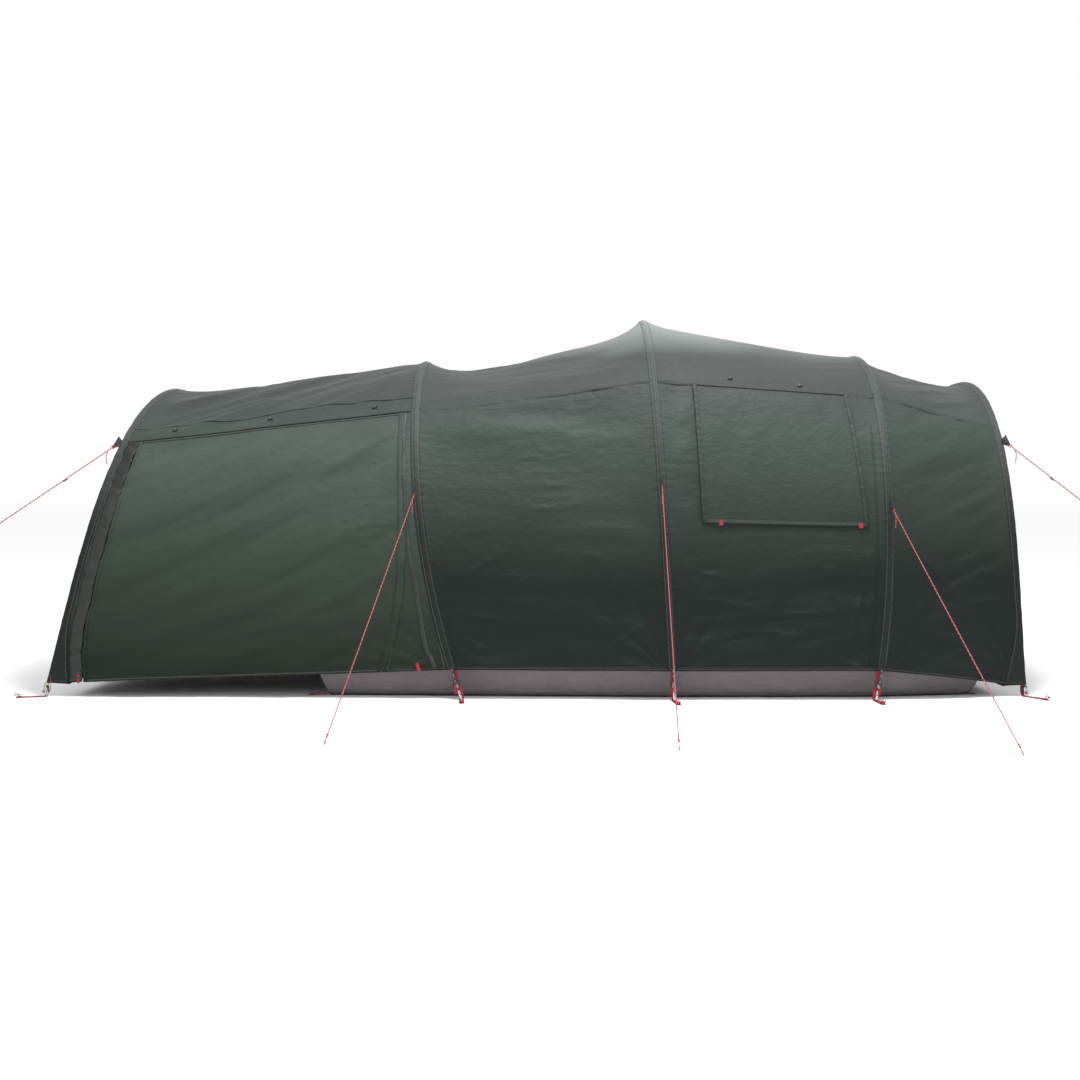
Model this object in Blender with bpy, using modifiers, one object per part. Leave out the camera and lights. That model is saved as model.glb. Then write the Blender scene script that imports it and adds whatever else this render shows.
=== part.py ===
"""A five-arch tunnel tent, standing on flat ground, as separate named solids.

Metres, +Z up. The tent is long in X, with its awning end at -X. The near side is -Y and the far
side is +Y, and one is the mirror of the other. The origin is on the ground under the middle.
"""
import math

import bmesh
import bpy
from mathutils import Vector

# The arches, from the awning end to the rear end
ARCH_TOP_X = (-2.14, -0.67, 0.59, 1.82, 2.48)
ARCH_FOOT_X = (-2.56, -0.39, 0.69, 1.71, 2.52)
ARCH_HEIGHT = (1.66, 1.82, 2.06, 1.85, 1.70)
ARCH_HALF_WIDTH = (1.06, 1.17, 1.22, 1.21, 1.06)
ARCH_LEAN_POWER = (0.8, 2.4, 1.0, 4.0, 0.8)  # 1 is a straight lean, and more bends only the feet
ARCH_ROUNDNESS = 2.5  # the exponent of the arch's superellipse
ARCH_WAIST = 0.27  # how far the lower legs lean out, as a share of the half width
POLE_RADIUS = 0.0055
POLE_END_HEIGHT = 0.006
POLE_POINTS = 41

# The fly, which is the outer sheet
CLOTH = 0.003
HEM_HEIGHT = (0.07, 0.15, 0.15, 0.15, 0.06)
RIDGE_DIP = (0.035, 0.10, 0.024, 0.055)
WALL_DIP = (0.03, 0.04, 0.03, 0.03)
DIP_POWER = 4  # high, so the sheet falls away close to the arches
# Where the roof meets the wall, from the ridge (0) to the hem (1), at each bay's front and rear
SEAM = ((0.395, 0.385), (0.38, 0.385), (0.385, 0.355), (0.355, 0.36))
SEAM_GAP = 0.005
SEAM_EASE = 0.10  # how far round the fly the straightening of a seam is felt
POLE_CLEARANCE = 0.012
END_INSET = 0.10  # how far the hem's end corners pull in from the end poles
END_INSET_HEIGHT = 0.40

# The side doors of the awning, hung from the seam of the first bay
DOOR_FRONT = 0.055  # shares of the way along the bay
DOOR_REAR_TOP = 0.962
DOOR_REAR_NARROWING = 0.135
DOOR_REAR_POWER = 3
DOOR_GAP = 0.006

# The end walls
END_WALL_INSET = 0.030
END_WALL_GAP = 0.008
FRONT_DOOR_HALF_WIDTH = 0.62
FRONT_DOOR_MOST = 0.85  # of the end wall's half width at any height
FRONT_DOOR_TOP = 1.30
FRONT_DOOR_SILL = 0.085

# The windows in the third bay, and the covers that hang over them
WINDOW_BAY = 2
WINDOW_ACROSS = (0.22, 0.80)
WINDOW_DOWN = (0.08, 0.46)  # shares of the wall, from the seam to the hem
COVER_ACROSS = (0.165, 0.86)
COVER_FLARE = 0.055  # how much further along the bay its rear edge is at the bottom
COVER_DOWN = (0.015, 0.515)
COVER_STAND_OFF = 0.014
PANE_MARGIN = 0.006

# The groundsheet, a tray under the three rear bays
SHEET_ENDS = (-1.15, 2.320)
SHEET_WALL_HEIGHT = 0.135
SHEET_FLOOR_INSET = 0.12
SHEET_TOP_INSET = 0.04
SHEET_END_SLOPE = 0.07

# Webbing at the feet, guy tabs and guy ropes
WEBBING_WIDTH = 0.025
WEBBING = 0.002
STRAP_BEHIND_POLE = 0.014
STRAP_REACH = ((-0.13, -0.05), (0.01, -0.12), (0.01, -0.12), (0.01, -0.12), (0.0722, -0.13))
TAB_HEIGHT = (1.33, 1.08, 1.13, 1.00, 1.34)
TAB_BASE = 0.06
TAB_LENGTH = 0.065
TAB_TIP = 0.012
TAB_STAND_OFF = 0.011
PEG_PLACE = ((-3.59, 2.50), (-0.88, 2.38), (0.60, 2.50), (1.98, 2.60), (3.59, 2.50))
ROPE_RADIUS = 0.0025
ROPE_POINTS = 9
ROPE_SAG = 0.004
ROPE_END_GAP = 0.001

# Colours: name, colour, roughness, metallic
FINISHES = {
    "pole_coating": ((0.02, 0.02, 0.02), 0.4, 0.0),
    "fly_cloth": ((0.05, 0.07, 0.055), 0.75, 0.0),
    "roof_cloth": ((0.11, 0.13, 0.115), 0.7, 0.0),
    "sheet_cloth": ((0.16, 0.145, 0.15), 0.8, 0.0),
    "window_film": ((0.6, 0.63, 0.62), 0.15, 0.0),
    "webbing": ((0.42, 0.01, 0.03), 0.8, 0.0),
    "tab_cloth": ((0.015, 0.018, 0.016), 0.8, 0.0),
    "rope": ((0.5, 0.04, 0.07), 0.8, 0.0),
}

SIDES = (("near", -1), ("far", 1))
ARCHES = range(5)
BAYS = range(4)
TABLE_STEPS = 240


def clear_scene():
    for thing in list(bpy.data.objects):
        bpy.data.objects.remove(thing, do_unlink=True)


def finish(name):
    """The Principled material of one finish, made once."""
    found = bpy.data.materials.get(name)
    if found:
        return found
    colour, roughness, metallic = FINISHES[name]
    made = bpy.data.materials.new(name)
    made.use_nodes = True
    shader = made.node_tree.nodes["Principled BSDF"]
    shader.inputs["Base Color"].default_value = (*colour, 1.0)
    shader.inputs["Roughness"].default_value = roughness
    shader.inputs["Metallic"].default_value = metallic
    return made


def blend(a, b, share):
    return a + (b - a) * share


def profile(arch, angle):
    """A point of one arch's far half, from the top (angle 0) to the ground (a right angle)."""
    power = 2 / ARCH_ROUNDNESS
    rise = max(math.cos(angle), 0.0) ** power
    width = math.sin(angle) ** power - ARCH_WAIST * rise * (1 - rise) ** 2
    lean = (ARCH_FOOT_X[arch] - ARCH_TOP_X[arch]) * (1 - rise) ** ARCH_LEAN_POWER[arch]
    return Vector((ARCH_TOP_X[arch] + lean, ARCH_HALF_WIDTH[arch] * width, ARCH_HEIGHT[arch] * rise))


def table(arch, lowest):
    """Points down the far half of an arch to a height, each with the length of arch above it."""
    points = []
    run = 0.0
    for step in range(TABLE_STEPS + 1):
        point = profile(arch, step / TABLE_STEPS * math.pi / 2)
        if points:
            before = points[-1][1]
            piece = (point - before).length
            if point.z < lowest:
                share = (before.z - lowest) / (before.z - point.z)
                points.append((run + piece * share, before.lerp(point, share)))
                return points
            run += piece
        points.append((run, point))
    return points


def look_up(points, share):
    """The point at a share of a table's length."""
    wanted = share * points[-1][0]
    for (run_a, a), (run_b, b) in zip(points, points[1:]):
        if run_b >= wanted:
            return a.lerp(b, (wanted - run_a) / (run_b - run_a))
    return points[-1][1].copy()


HEM_TABLES = [table(arch, HEM_HEIGHT[arch]) for arch in ARCHES]
POLE_TABLES = [table(arch, POLE_END_HEIGHT) for arch in ARCHES]


def on_arch(arch, around):
    """A point on an arch, from -1 at the near hem over the top (0) to 1 at the far hem."""
    point = look_up(HEM_TABLES[arch], abs(around))
    if around < 0:
        point.y = -point.y
    return point


def at_height(arch, height):
    """Where an arch passes a height on its far side, as a share from its top to the hem."""
    low, high = 0.0, 1.0
    for _ in range(40):
        middle = (low + high) / 2
        if look_up(HEM_TABLES[arch], middle).z > height:
            low = middle
        else:
            high = middle
    return low


def end_inset(height):
    return END_INSET * max(0.0, 1 - height / END_INSET_HEIGHT) ** 1.5


def plain_fly(bay, along, around):
    """A point of the fly before the seam is straightened."""
    point = on_arch(bay, around).lerp(on_arch(bay + 1, around), along)
    dip = 1 - abs(2 * along - 1) ** DIP_POWER
    peak = blend(ARCH_HEIGHT[bay], ARCH_HEIGHT[bay + 1], along)
    inward = WALL_DIP[bay] * dip * math.sin(math.pi * abs(around))
    point.y -= math.copysign(inward, around)
    if around == 0:
        point.y = 0.0
    point.z -= RIDGE_DIP[bay] * dip * (point.z / peak) ** 2
    point.x += POLE_CLEARANCE * (1 - 2 * along)
    if bay == BAYS[0]:
        point.x += end_inset(point.z) * (1 - along) ** 3
    if bay == BAYS[-1]:
        point.x -= end_inset(point.z) * along ** 3
    return point


def seam(bay, along):
    return blend(*SEAM[bay], along)


def seam_line(bay, along, side):
    """A point on the straight line that the roof and the wall of a bay meet on."""
    front = plain_fly(bay, 0.0, side * SEAM[bay][0])
    rear = plain_fly(bay, 1.0, side * SEAM[bay][1])
    return front.lerp(rear, along)


def fly(bay, along, around):
    """A point of the fly. Beside the seam it is moved on to the seam's straight line."""
    point = plain_fly(bay, along, around)
    if around == 0:
        return point
    side = math.copysign(1, around)
    off = (abs(around) - seam(bay, along)) / SEAM_EASE
    shift = seam_line(bay, along, side) - plain_fly(bay, along, side * seam(bay, along))
    return point + shift * math.exp(-off * off)


def on_wall(bay, along, down, side):
    """A point of a wall, from the seam (0) to the hem (1)."""
    top = seam(bay, along) + SEAM_GAP / HEM_TABLES[bay][-1][0]
    return fly(bay, along, side * blend(top, 1, down))


def outward(bay, along, around):
    """The fly's outward direction at a point."""
    step = 0.004
    across = fly(bay, along + step, around) - fly(bay, along - step, around)
    down = fly(bay, along, around + step) - fly(bay, along, around - step)
    normal = across.cross(down).normalized()
    if normal.z < 0:
        normal = -normal
    return normal


def lines(first, last, count, *more):
    """Evenly spaced grid lines, with some of them moved to given places."""
    values = [blend(first, last, k / count) for k in range(count + 1)]
    for value in more:
        nearest = min(range(1, count), key=lambda k: abs(values[k] - value))
        values[nearest] = value
    return values


def add_object(name, data, finish_name, collection):
    made = bpy.data.objects.new(name, data)
    data.materials.append(finish(finish_name))
    collection.objects.link(made)
    return made


def sheet(name, rows, finish_name, collection, thickness=CLOTH, skip=None):
    """A thin shell through rows of points. skip says which cells of the grid are left open."""
    mesh = bpy.data.meshes.new(name)
    shape = bmesh.new()
    grid = [[shape.verts.new(point) for point in row] for row in rows]
    for i in range(len(grid) - 1):
        for j in range(len(grid[i]) - 1):
            if skip and skip(i, j):
                continue
            shape.faces.new((grid[i][j], grid[i][j + 1], grid[i + 1][j + 1], grid[i + 1][j]))
    loose = [vert for vert in shape.verts if not vert.link_faces]
    bmesh.ops.delete(shape, geom=loose, context="VERTS")
    shape.to_mesh(mesh)
    shape.free()
    made = add_object(name, mesh, finish_name, collection)
    shell = made.modifiers.new("cloth", "SOLIDIFY")
    shell.thickness = thickness
    shell.offset = 0.0
    return made


def hang_on(made, start, end):
    """Put an object's origin on its hinge line, with the object itself left in its place."""
    middle = (start + end) / 2
    for vert in made.data.vertices:
        vert.co -= middle
    made.location = middle


def tube(name, points, radius, finish_name, collection):
    curve = bpy.data.curves.new(name, "CURVE")
    curve.dimensions = "3D"
    curve.bevel_depth = radius
    curve.bevel_resolution = 2
    curve.use_fill_caps = True
    spline = curve.splines.new("POLY")
    spline.points.add(len(points) - 1)
    for knot, point in zip(spline.points, points):
        knot.co = (*point, 1.0)
    return add_object(name, curve, finish_name, collection)


def make_pole(arch, collection):
    points = []
    for k in range(POLE_POINTS):
        around = blend(-1, 1, k / (POLE_POINTS - 1))
        point = look_up(POLE_TABLES[arch], abs(around))
        if around < 0:
            point.y = -point.y
        points.append(point)
    tube(f"pole_arch_{arch + 1}", points, POLE_RADIUS, "pole_coating", collection)


def make_roof(bay, collection):
    gap = SEAM_GAP / HEM_TABLES[bay][-1][0]
    rows = [
        [fly(bay, along, (seam(bay, along) - gap) * share) for share in lines(-1, 1, 10, 0.0)]
        for along in lines(0, 1, 8)
    ]
    sheet(f"roof_{bay + 1}", rows, "roof_cloth", collection)


def wall_rows(bay, side, across, down):
    return [[on_wall(bay, along, share, side) for along in across] for share in down]


def make_wall(bay, side_name, side, collection):
    name = f"wall_{bay + 1}_{side_name}"
    if bay != WINDOW_BAY:
        rows = wall_rows(bay, side, lines(0, 1, 8), lines(0, 1, 9))
        sheet(name, rows, "fly_cloth", collection)
        return
    across = lines(0, 1, 8, *WINDOW_ACROSS)
    down = lines(0, 1, 9, *WINDOW_DOWN)

    def in_window(i, j):
        return (
            WINDOW_DOWN[0] - 0.001 < down[i] < WINDOW_DOWN[1] - 0.001
            and WINDOW_ACROSS[0] - 0.001 < across[j] < WINDOW_ACROSS[1] - 0.001
        )

    sheet(name, wall_rows(bay, side, across, down), "fly_cloth", collection, skip=in_window)
    pane_across = lines(WINDOW_ACROSS[0] + PANE_MARGIN, WINDOW_ACROSS[1] - PANE_MARGIN, 5)
    pane_down = lines(WINDOW_DOWN[0] + PANE_MARGIN, WINDOW_DOWN[1] - PANE_MARGIN, 4)
    rows = wall_rows(bay, side, pane_across, pane_down)
    sheet(f"window_pane_{side_name}", rows, "window_film", collection, thickness=CLOTH / 2)


def over_window(along, down, side):
    """A point of a window's cover, which stands off the wall."""
    around = side * blend(seam(WINDOW_BAY, along), 1, down)
    return on_wall(WINDOW_BAY, along, down, side) + outward(WINDOW_BAY, along, around) * COVER_STAND_OFF


def make_window_cover(side_name, side, collection):
    front, rear = COVER_ACROSS
    ends = [over_window(along, COVER_DOWN[0], side) for along in COVER_ACROSS]
    rows = [[ends[0].lerp(ends[1], k / 6) for k in range(7)]]
    for k, down in enumerate(lines(*COVER_DOWN, 7)[1:], 1):
        across = lines(front, rear + COVER_FLARE * k / 7, 6)
        rows.append([over_window(along, down, side) for along in across])
    made = sheet(f"window_cover_{side_name}", rows, "fly_cloth", collection)
    hang_on(made, *ends)


def door_rear(down):
    """How far along the first bay a side door reaches, at a share down from the seam."""
    return DOOR_REAR_TOP - DOOR_REAR_NARROWING * down ** DOOR_REAR_POWER


def make_side_door(side_name, side, collection):
    gap = DOOR_GAP / (ARCH_TOP_X[1] - ARCH_TOP_X[0])
    rows = []
    front_rows = []
    rear_rows = []
    for down in lines(0, 1, 10):
        rear = door_rear(down)
        rows.append([on_wall(0, along, down, side) for along in lines(DOOR_FRONT, rear, 9)])
        front_rows.append([on_wall(0, along, down, side) for along in (0, DOOR_FRONT - gap)])
        rear_rows.append([on_wall(0, along, down, side) for along in lines(rear + gap, 1, 2)])
    sheet(f"side_gusset_front_{side_name}", front_rows, "fly_cloth", collection)
    sheet(f"side_gusset_rear_{side_name}", rear_rows, "fly_cloth", collection)
    made = sheet(f"side_door_{side_name}", rows, "fly_cloth", collection)
    hang_on(made, rows[0][0], rows[0][-1])


def end_point(arch, inward, around, width):
    """A point of an end wall: as high as the arch at around, and width across."""
    point = on_arch(arch, around)
    point.z -= END_WALL_GAP
    point.x += inward * (END_WALL_INSET + end_inset(point.z))
    point.y = width
    return point


def end_widths(arch, around):
    """The places across an end wall, with the door's edges among them."""
    edge = on_arch(arch, around).y - END_WALL_GAP
    door = min(FRONT_DOOR_HALF_WIDTH, FRONT_DOOR_MOST * edge)
    half = [door / 2, door, (door + edge) / 2, edge]
    return [-width for width in reversed(half)] + [0.0] + half


def make_end_walls(collection):
    rear = [
        [end_point(4, -1, around, width) for width in end_widths(4, around)]
        for around in lines(0.06, 1, 9)
    ]
    sheet("rear_wall", rear, "fly_cloth", collection)
    door_top = at_height(0, FRONT_DOOR_TOP + END_WALL_GAP)
    down = lines(0.06, door_top, 3)[:-1] + lines(door_top, 1, 6)
    front = [[end_point(0, 1, around, width) for width in end_widths(0, around)] for around in down]

    def in_doorway(i, j):
        return down[i] > door_top - 0.001 and 2 <= j <= 5

    sheet("front_wall", front, "fly_cloth", collection, skip=in_doorway)
    rows = []
    for height in lines(FRONT_DOOR_TOP - DOOR_GAP, FRONT_DOOR_SILL, 6):
        around = at_height(0, height + END_WALL_GAP)
        half = FRONT_DOOR_HALF_WIDTH - DOOR_GAP
        rows.append([end_point(0, 1, around, width) for width in lines(-half, half, 4)])
    door = sheet("front_door", rows, "fly_cloth", collection)
    hang_on(door, rows[0][0], rows[0][-1])


def hem_half_width(x):
    """How wide the fly's hem is, half of it, at a place along the tent."""
    hems = [on_arch(arch, 1.0) for arch in ARCHES]
    for a, b in zip(hems, hems[1:]):
        if x <= b.x:
            return blend(a.y, b.y, (x - a.x) / (b.x - a.x))
    return hems[-1].y


def make_groundsheet(collection):
    front, rear = SHEET_ENDS
    floor = CLOTH / 2
    stations = [front] + lines(front + SHEET_END_SLOPE, rear - SHEET_END_SLOPE, 8) + [rear]
    rows = []
    for x in stations:
        hem = hem_half_width(x)
        top = hem - SHEET_TOP_INSET
        bottom = hem - SHEET_FLOOR_INSET
        low = SHEET_WALL_HEIGHT if x in SHEET_ENDS else floor
        half = [(bottom / 2, low), (bottom, low), (top, SHEET_WALL_HEIGHT)]
        section = [(-y, z) for y, z in reversed(half)] + [(0.0, low)] + half
        rows.append([Vector((x, y, z)) for y, z in section])
    sheet("groundsheet", rows, "sheet_cloth", collection)


def make_foot_strap(arch, side_name, side, collection):
    foot = look_up(POLE_TABLES[arch], 1.0)
    hem = on_arch(arch, 1.0)
    reach = Vector((STRAP_REACH[arch][0], -STRAP_REACH[arch][1], 0.0))
    across = Vector((reach.y, -reach.x, 0.0)).normalized() * WEBBING_WIDTH / 2
    behind = -reach.normalized() * STRAP_BEHIND_POLE
    ground = Vector((foot.x, foot.y, WEBBING / 2))
    route = [
        Vector((hem.x, hem.y, hem.z + 0.02)) + behind,
        Vector((blend(hem.x, foot.x, 0.5), blend(hem.y, foot.y, 0.5), hem.z / 2)) + behind * 1.4,
        Vector((foot.x, foot.y, 0.012)) + behind * 1.2,
        ground + Vector((0.0, 0.0, 0.001)) + behind * 0.9,
        ground + reach * 0.08,
        ground + reach * 0.5,
        ground + reach,
    ]
    rows = [[point - across, point + across] for point in route]
    for row in rows:
        for point in row:
            point.y *= side
    sheet(f"foot_strap_{arch + 1}_{side_name}", rows, "webbing", collection, thickness=WEBBING)


def make_guy(arch, side_name, side, collection):
    """A triangular tab on the arch, and the rope from its tip to the peg's place."""
    around = at_height(arch, TAB_HEIGHT[arch])
    base = on_arch(arch, around)
    up = (on_arch(arch, around - 0.02) - on_arch(arch, around + 0.02)).normalized()
    out = Vector((0.0, up.z, -up.y)).normalized()
    base += out * TAB_STAND_OFF
    peg = Vector((*PEG_PLACE[arch], ROPE_RADIUS))
    pull = (peg - base).normalized()
    tip = base + pull * TAB_LENGTH
    tip_edge = (up - pull * up.dot(pull)).normalized() * TAB_TIP / 2
    corners = [base + up * TAB_BASE / 2, base - up * TAB_BASE / 2, tip - tip_edge, tip + tip_edge]
    start = tip + pull * ROPE_END_GAP
    rope = []
    for k in range(ROPE_POINTS):
        share = k / (ROPE_POINTS - 1)
        point = start.lerp(peg, share)
        point.z -= 4 * ROPE_SAG * share * (1 - share)
        rope.append(point)
    for point in corners + rope:
        point.y *= side
    rows = [[corners[0], corners[3]], [corners[1], corners[2]]]
    sheet(f"guy_tab_{arch + 1}_{side_name}", rows, "tab_cloth", collection, thickness=WEBBING)
    tube(f"guy_rope_{arch + 1}_{side_name}", rope, ROPE_RADIUS, "rope", collection)


def main():
    clear_scene()
    collection = bpy.data.collections.new("tunnel_tent")
    bpy.context.scene.collection.children.link(collection)
    for arch in ARCHES:
        make_pole(arch, collection)
    for bay in BAYS:
        make_roof(bay, collection)
    make_end_walls(collection)
    make_groundsheet(collection)
    for side_name, side in SIDES:
        make_side_door(side_name, side, collection)
        make_window_cover(side_name, side, collection)
        for bay in BAYS[1:]:
            make_wall(bay, side_name, side, collection)
        for arch in ARCHES:
            make_foot_strap(arch, side_name, side, collection)
            make_guy(arch, side_name, side, collection)


main()
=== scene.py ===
"""The cloth, webbing, ropes and fittings of a five-arch tunnel tent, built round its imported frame.

Metres, +Z up. The tent is long in X, with its awning end at -X. The near side is -Y. A place on the
fly is said by its bay, how far along the bay it is (0 to 1), and how far round: -1 is the near hem,
0 the ridge and 1 the far hem. The folds of the cloth are worked out from that place.
"""

import math

import bmesh
import bpy
import numpy as np
from bpy.props import FloatProperty, FloatVectorProperty, PointerProperty
from mathutils import Matrix, Vector


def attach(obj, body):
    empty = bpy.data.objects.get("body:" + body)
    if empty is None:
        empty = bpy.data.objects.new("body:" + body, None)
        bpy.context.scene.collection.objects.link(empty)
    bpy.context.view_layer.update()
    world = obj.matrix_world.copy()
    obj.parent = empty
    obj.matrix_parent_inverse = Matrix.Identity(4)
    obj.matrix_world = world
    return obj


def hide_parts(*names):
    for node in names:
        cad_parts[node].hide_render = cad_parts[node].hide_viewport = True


bl_info = {
    "name": "Tunnel tent",
    "version": (1, 0, 0),
    "blender": (4, 5, 0),
    "location": "View3D > Sidebar > Tunnel tent",
    "description": "Makes the cloth, webbing, ropes and fittings of a five-arch tunnel tent",
    "category": "Add Mesh",
}

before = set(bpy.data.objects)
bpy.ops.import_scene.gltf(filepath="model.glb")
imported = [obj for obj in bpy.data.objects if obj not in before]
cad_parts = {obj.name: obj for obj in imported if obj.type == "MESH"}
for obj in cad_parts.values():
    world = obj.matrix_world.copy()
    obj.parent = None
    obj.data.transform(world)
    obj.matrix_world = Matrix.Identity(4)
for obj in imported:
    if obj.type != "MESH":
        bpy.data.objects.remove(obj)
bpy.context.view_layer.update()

# The arches, from the awning end to the rear end, as in the frame
ARCH_TOP_X = (-2.14, -0.67, 0.59, 1.82, 2.48)
ARCH_FOOT_X = (-2.56, -0.39, 0.69, 1.71, 2.52)
ARCH_HEIGHT = (1.66, 1.82, 2.06, 1.85, 1.70)
ARCH_HALF_WIDTH = (1.06, 1.17, 1.22, 1.21, 1.06)
ARCH_LEAN_POWER = (0.8, 2.4, 1.0, 4.0, 0.8)
ARCH_ROUNDNESS = 2.5
ARCH_WAIST = 0.27
POLE_END_HEIGHT = 0.006
HEM_HEIGHT = (0.07, 0.15, 0.15, 0.15, 0.06)
RIDGE_DIP = (0.035, 0.10, 0.024, 0.055)
WALL_DIP = (0.03, 0.04, 0.03, 0.03)
DIP_POWER = 4
SEAM = ((0.395, 0.385), (0.38, 0.385), (0.385, 0.355), (0.355, 0.36))
SEAM_EASE = 0.10
POLE_CLEARANCE = 0.012
END_INSET = 0.10
END_INSET_HEIGHT = 0.40
DOOR_FRONT = 0.055
DOOR_REAR_TOP = 0.962
DOOR_REAR_NARROWING = 0.135
DOOR_REAR_POWER = 3
DOOR_GAP = 0.006
END_WALL_INSET = 0.030
END_WALL_GAP = 0.008
END_WALL_TOP = 0.02
FRONT_DOOR_HALF_WIDTH = 0.62
OVERHEAD_PLACE, OVERHEAD_TARGET, OVERHEAD_SIZE = (0.9, -2.4, 6.2), (0.2, 0.0, 0.8), 1.8
FRONT_PLACE, FRONT_TARGET, FRONT_SIZE = (-4.0, -8.0, 2.6), (0.2, 0.0, 0.9), 4.0
FLOOR_RADIUS, FLOOR_HEIGHT = 90.0, -0.0005
CAMERA_X = 0.11
CAMERA_SHIFT = (-1 / 54, -5 / 108)  # as shares of the sensor's width
SENSOR_WIDTH = 36.0  # in millimetres
FRONT_DOOR_MOST = 0.85
FRONT_DOOR_TOP = 1.30
FRONT_DOOR_SILL = 0.085
WINDOW_ACROSS = (0.22, 0.80)
WINDOW_DOWN = (0.08, 0.46)
COVER_ACROSS = (0.165, 0.86)
COVER_FLARE = 0.055
COVER_DOWN = (0.015, 0.515)
COVER_STAND_OFF = 0.014
SHEET_ENDS = (-1.15, 2.320)
SHEET_WALL_HEIGHT = 0.135
SHEET_FLOOR_INSET = 0.12
SHEET_TOP_INSET = 0.04
STRAP_REACH = ((-0.13, -0.05), (0.01, -0.12), (0.01, -0.12), (0.01, -0.12), (0.0722, -0.13))
TAB_HEIGHT = (1.33, 1.08, 1.13, 1.00, 1.34)
TAB_BASE = 0.06
TAB_LENGTH = 0.065
TAB_STAND_OFF = 0.011
PEG_PLACE = ((-3.59, 2.50), (-0.88, 2.38), (0.60, 2.50), (1.98, 2.60), (3.59, 2.50))
ROPE_RADIUS = 0.0025
ROPE_SAG = 0.004
TABLE_STEPS = 240

SIDES = (("near", -1), ("far", 1))
ARCHES = range(5)
BAYS = range(4)
AWNING, LIVING, WINDOWED, REAR = BAYS
BAY_LENGTH = [rear - front for front, rear in zip(ARCH_TOP_X, ARCH_TOP_X[1:])]


# Curves of the arches and the fly

def unit(vectors):
    return vectors / np.maximum(np.linalg.norm(vectors, axis=-1, keepdims=True), 1e-9)


def mix(a, b, share):
    return a + (b - a) * share


def profile(arch, angle):
    """Points of one arch's far half, from the top (angle 0) to the ground (a right angle)."""
    power = 2 / ARCH_ROUNDNESS
    rise = np.maximum(np.cos(angle), 0.0) ** power
    width = np.sin(angle) ** power - ARCH_WAIST * rise * (1 - rise) ** 2
    lean = (ARCH_FOOT_X[arch] - ARCH_TOP_X[arch]) * (1 - rise) ** ARCH_LEAN_POWER[arch]
    return np.stack([ARCH_TOP_X[arch] + lean, ARCH_HALF_WIDTH[arch] * width, ARCH_HEIGHT[arch] * rise], -1)


def table(arch, lowest):
    """The lengths of arch above a run of points down to a height, and the points."""
    points = profile(arch, np.linspace(0, math.pi / 2, TABLE_STEPS + 1))
    under = int(np.argmax(points[:, 2] < lowest))
    above = points[under - 1]
    share = (above[2] - lowest) / (above[2] - points[under, 2])
    points = np.vstack([points[:under], mix(above, points[under], share)])
    steps = np.linalg.norm(np.diff(points, axis=0), axis=1)
    return np.concatenate([[0.0], np.cumsum(steps)]), points


HEM_TABLES = [table(arch, HEM_HEIGHT[arch]) for arch in ARCHES]
POLE_TABLES = [table(arch, POLE_END_HEIGHT) for arch in ARCHES]
ROUND_LENGTH = [HEM_TABLES[bay][0][-1] for bay in BAYS]


def on_arch(arch, around, tables=HEM_TABLES):
    runs, points = tables[arch]
    around = np.asarray(around, float)
    wanted = np.abs(around) * runs[-1]
    made = np.stack([np.interp(wanted, runs, points[:, k]) for k in range(3)], -1)
    made[..., 1] *= np.where(around < 0, -1, 1)
    return made


def at_height(arch, height):
    """How far round an arch is at a height, on its far side."""
    runs, points = HEM_TABLES[arch]
    return float(np.interp(-height, -points[:, 2], runs)) / runs[-1]


def end_inset(height):
    return END_INSET * np.maximum(0.0, 1 - height / END_INSET_HEIGHT) ** 1.5


def plain_fly(bay, along, around):
    """Points of the fly's far half before its seam is straightened."""
    along, around = np.broadcast_arrays(np.asarray(along, float), np.asarray(around, float))
    point = mix(on_arch(bay, around), on_arch(bay + 1, around), along[..., None])
    dip = 1 - np.abs(2 * along - 1) ** DIP_POWER
    peak = mix(ARCH_HEIGHT[bay], ARCH_HEIGHT[bay + 1], along)
    point[..., 1] -= WALL_DIP[bay] * dip * np.sin(math.pi * around)
    point[..., 2] -= RIDGE_DIP[bay] * dip * (point[..., 2] / peak) ** 2
    point[..., 0] += POLE_CLEARANCE * (1 - 2 * along)
    if bay == AWNING:
        point[..., 0] += end_inset(point[..., 2]) * (1 - along) ** 3
    if bay == REAR:
        point[..., 0] -= end_inset(point[..., 2]) * along ** 3
    return point


def seam(bay, along):
    return mix(*SEAM[bay], along)


def fly(bay, along, around):
    """Points of the smooth fly, with the seam of roof and wall on a straight line."""
    along, around = np.broadcast_arrays(np.asarray(along, float), np.asarray(around, float))
    far = np.abs(around)
    point = plain_fly(bay, along, far)
    line = mix(plain_fly(bay, 0.0, SEAM[bay][0]), plain_fly(bay, 1.0, SEAM[bay][1]), along[..., None])
    shift = line - plain_fly(bay, along, seam(bay, along))
    point += shift * np.exp(-((far - seam(bay, along)) / SEAM_EASE) ** 2)[..., None]
    point[..., 1] *= np.where(around < 0, -1, 1)
    return point


def outward(bay, along, around):
    step = 0.004
    across = fly(bay, along + step, around) - fly(bay, along - step, around)
    down = fly(bay, along, around + step) - fly(bay, along, around - step)
    return unit(np.cross(across, down))


# Folds of the cloth

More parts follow.
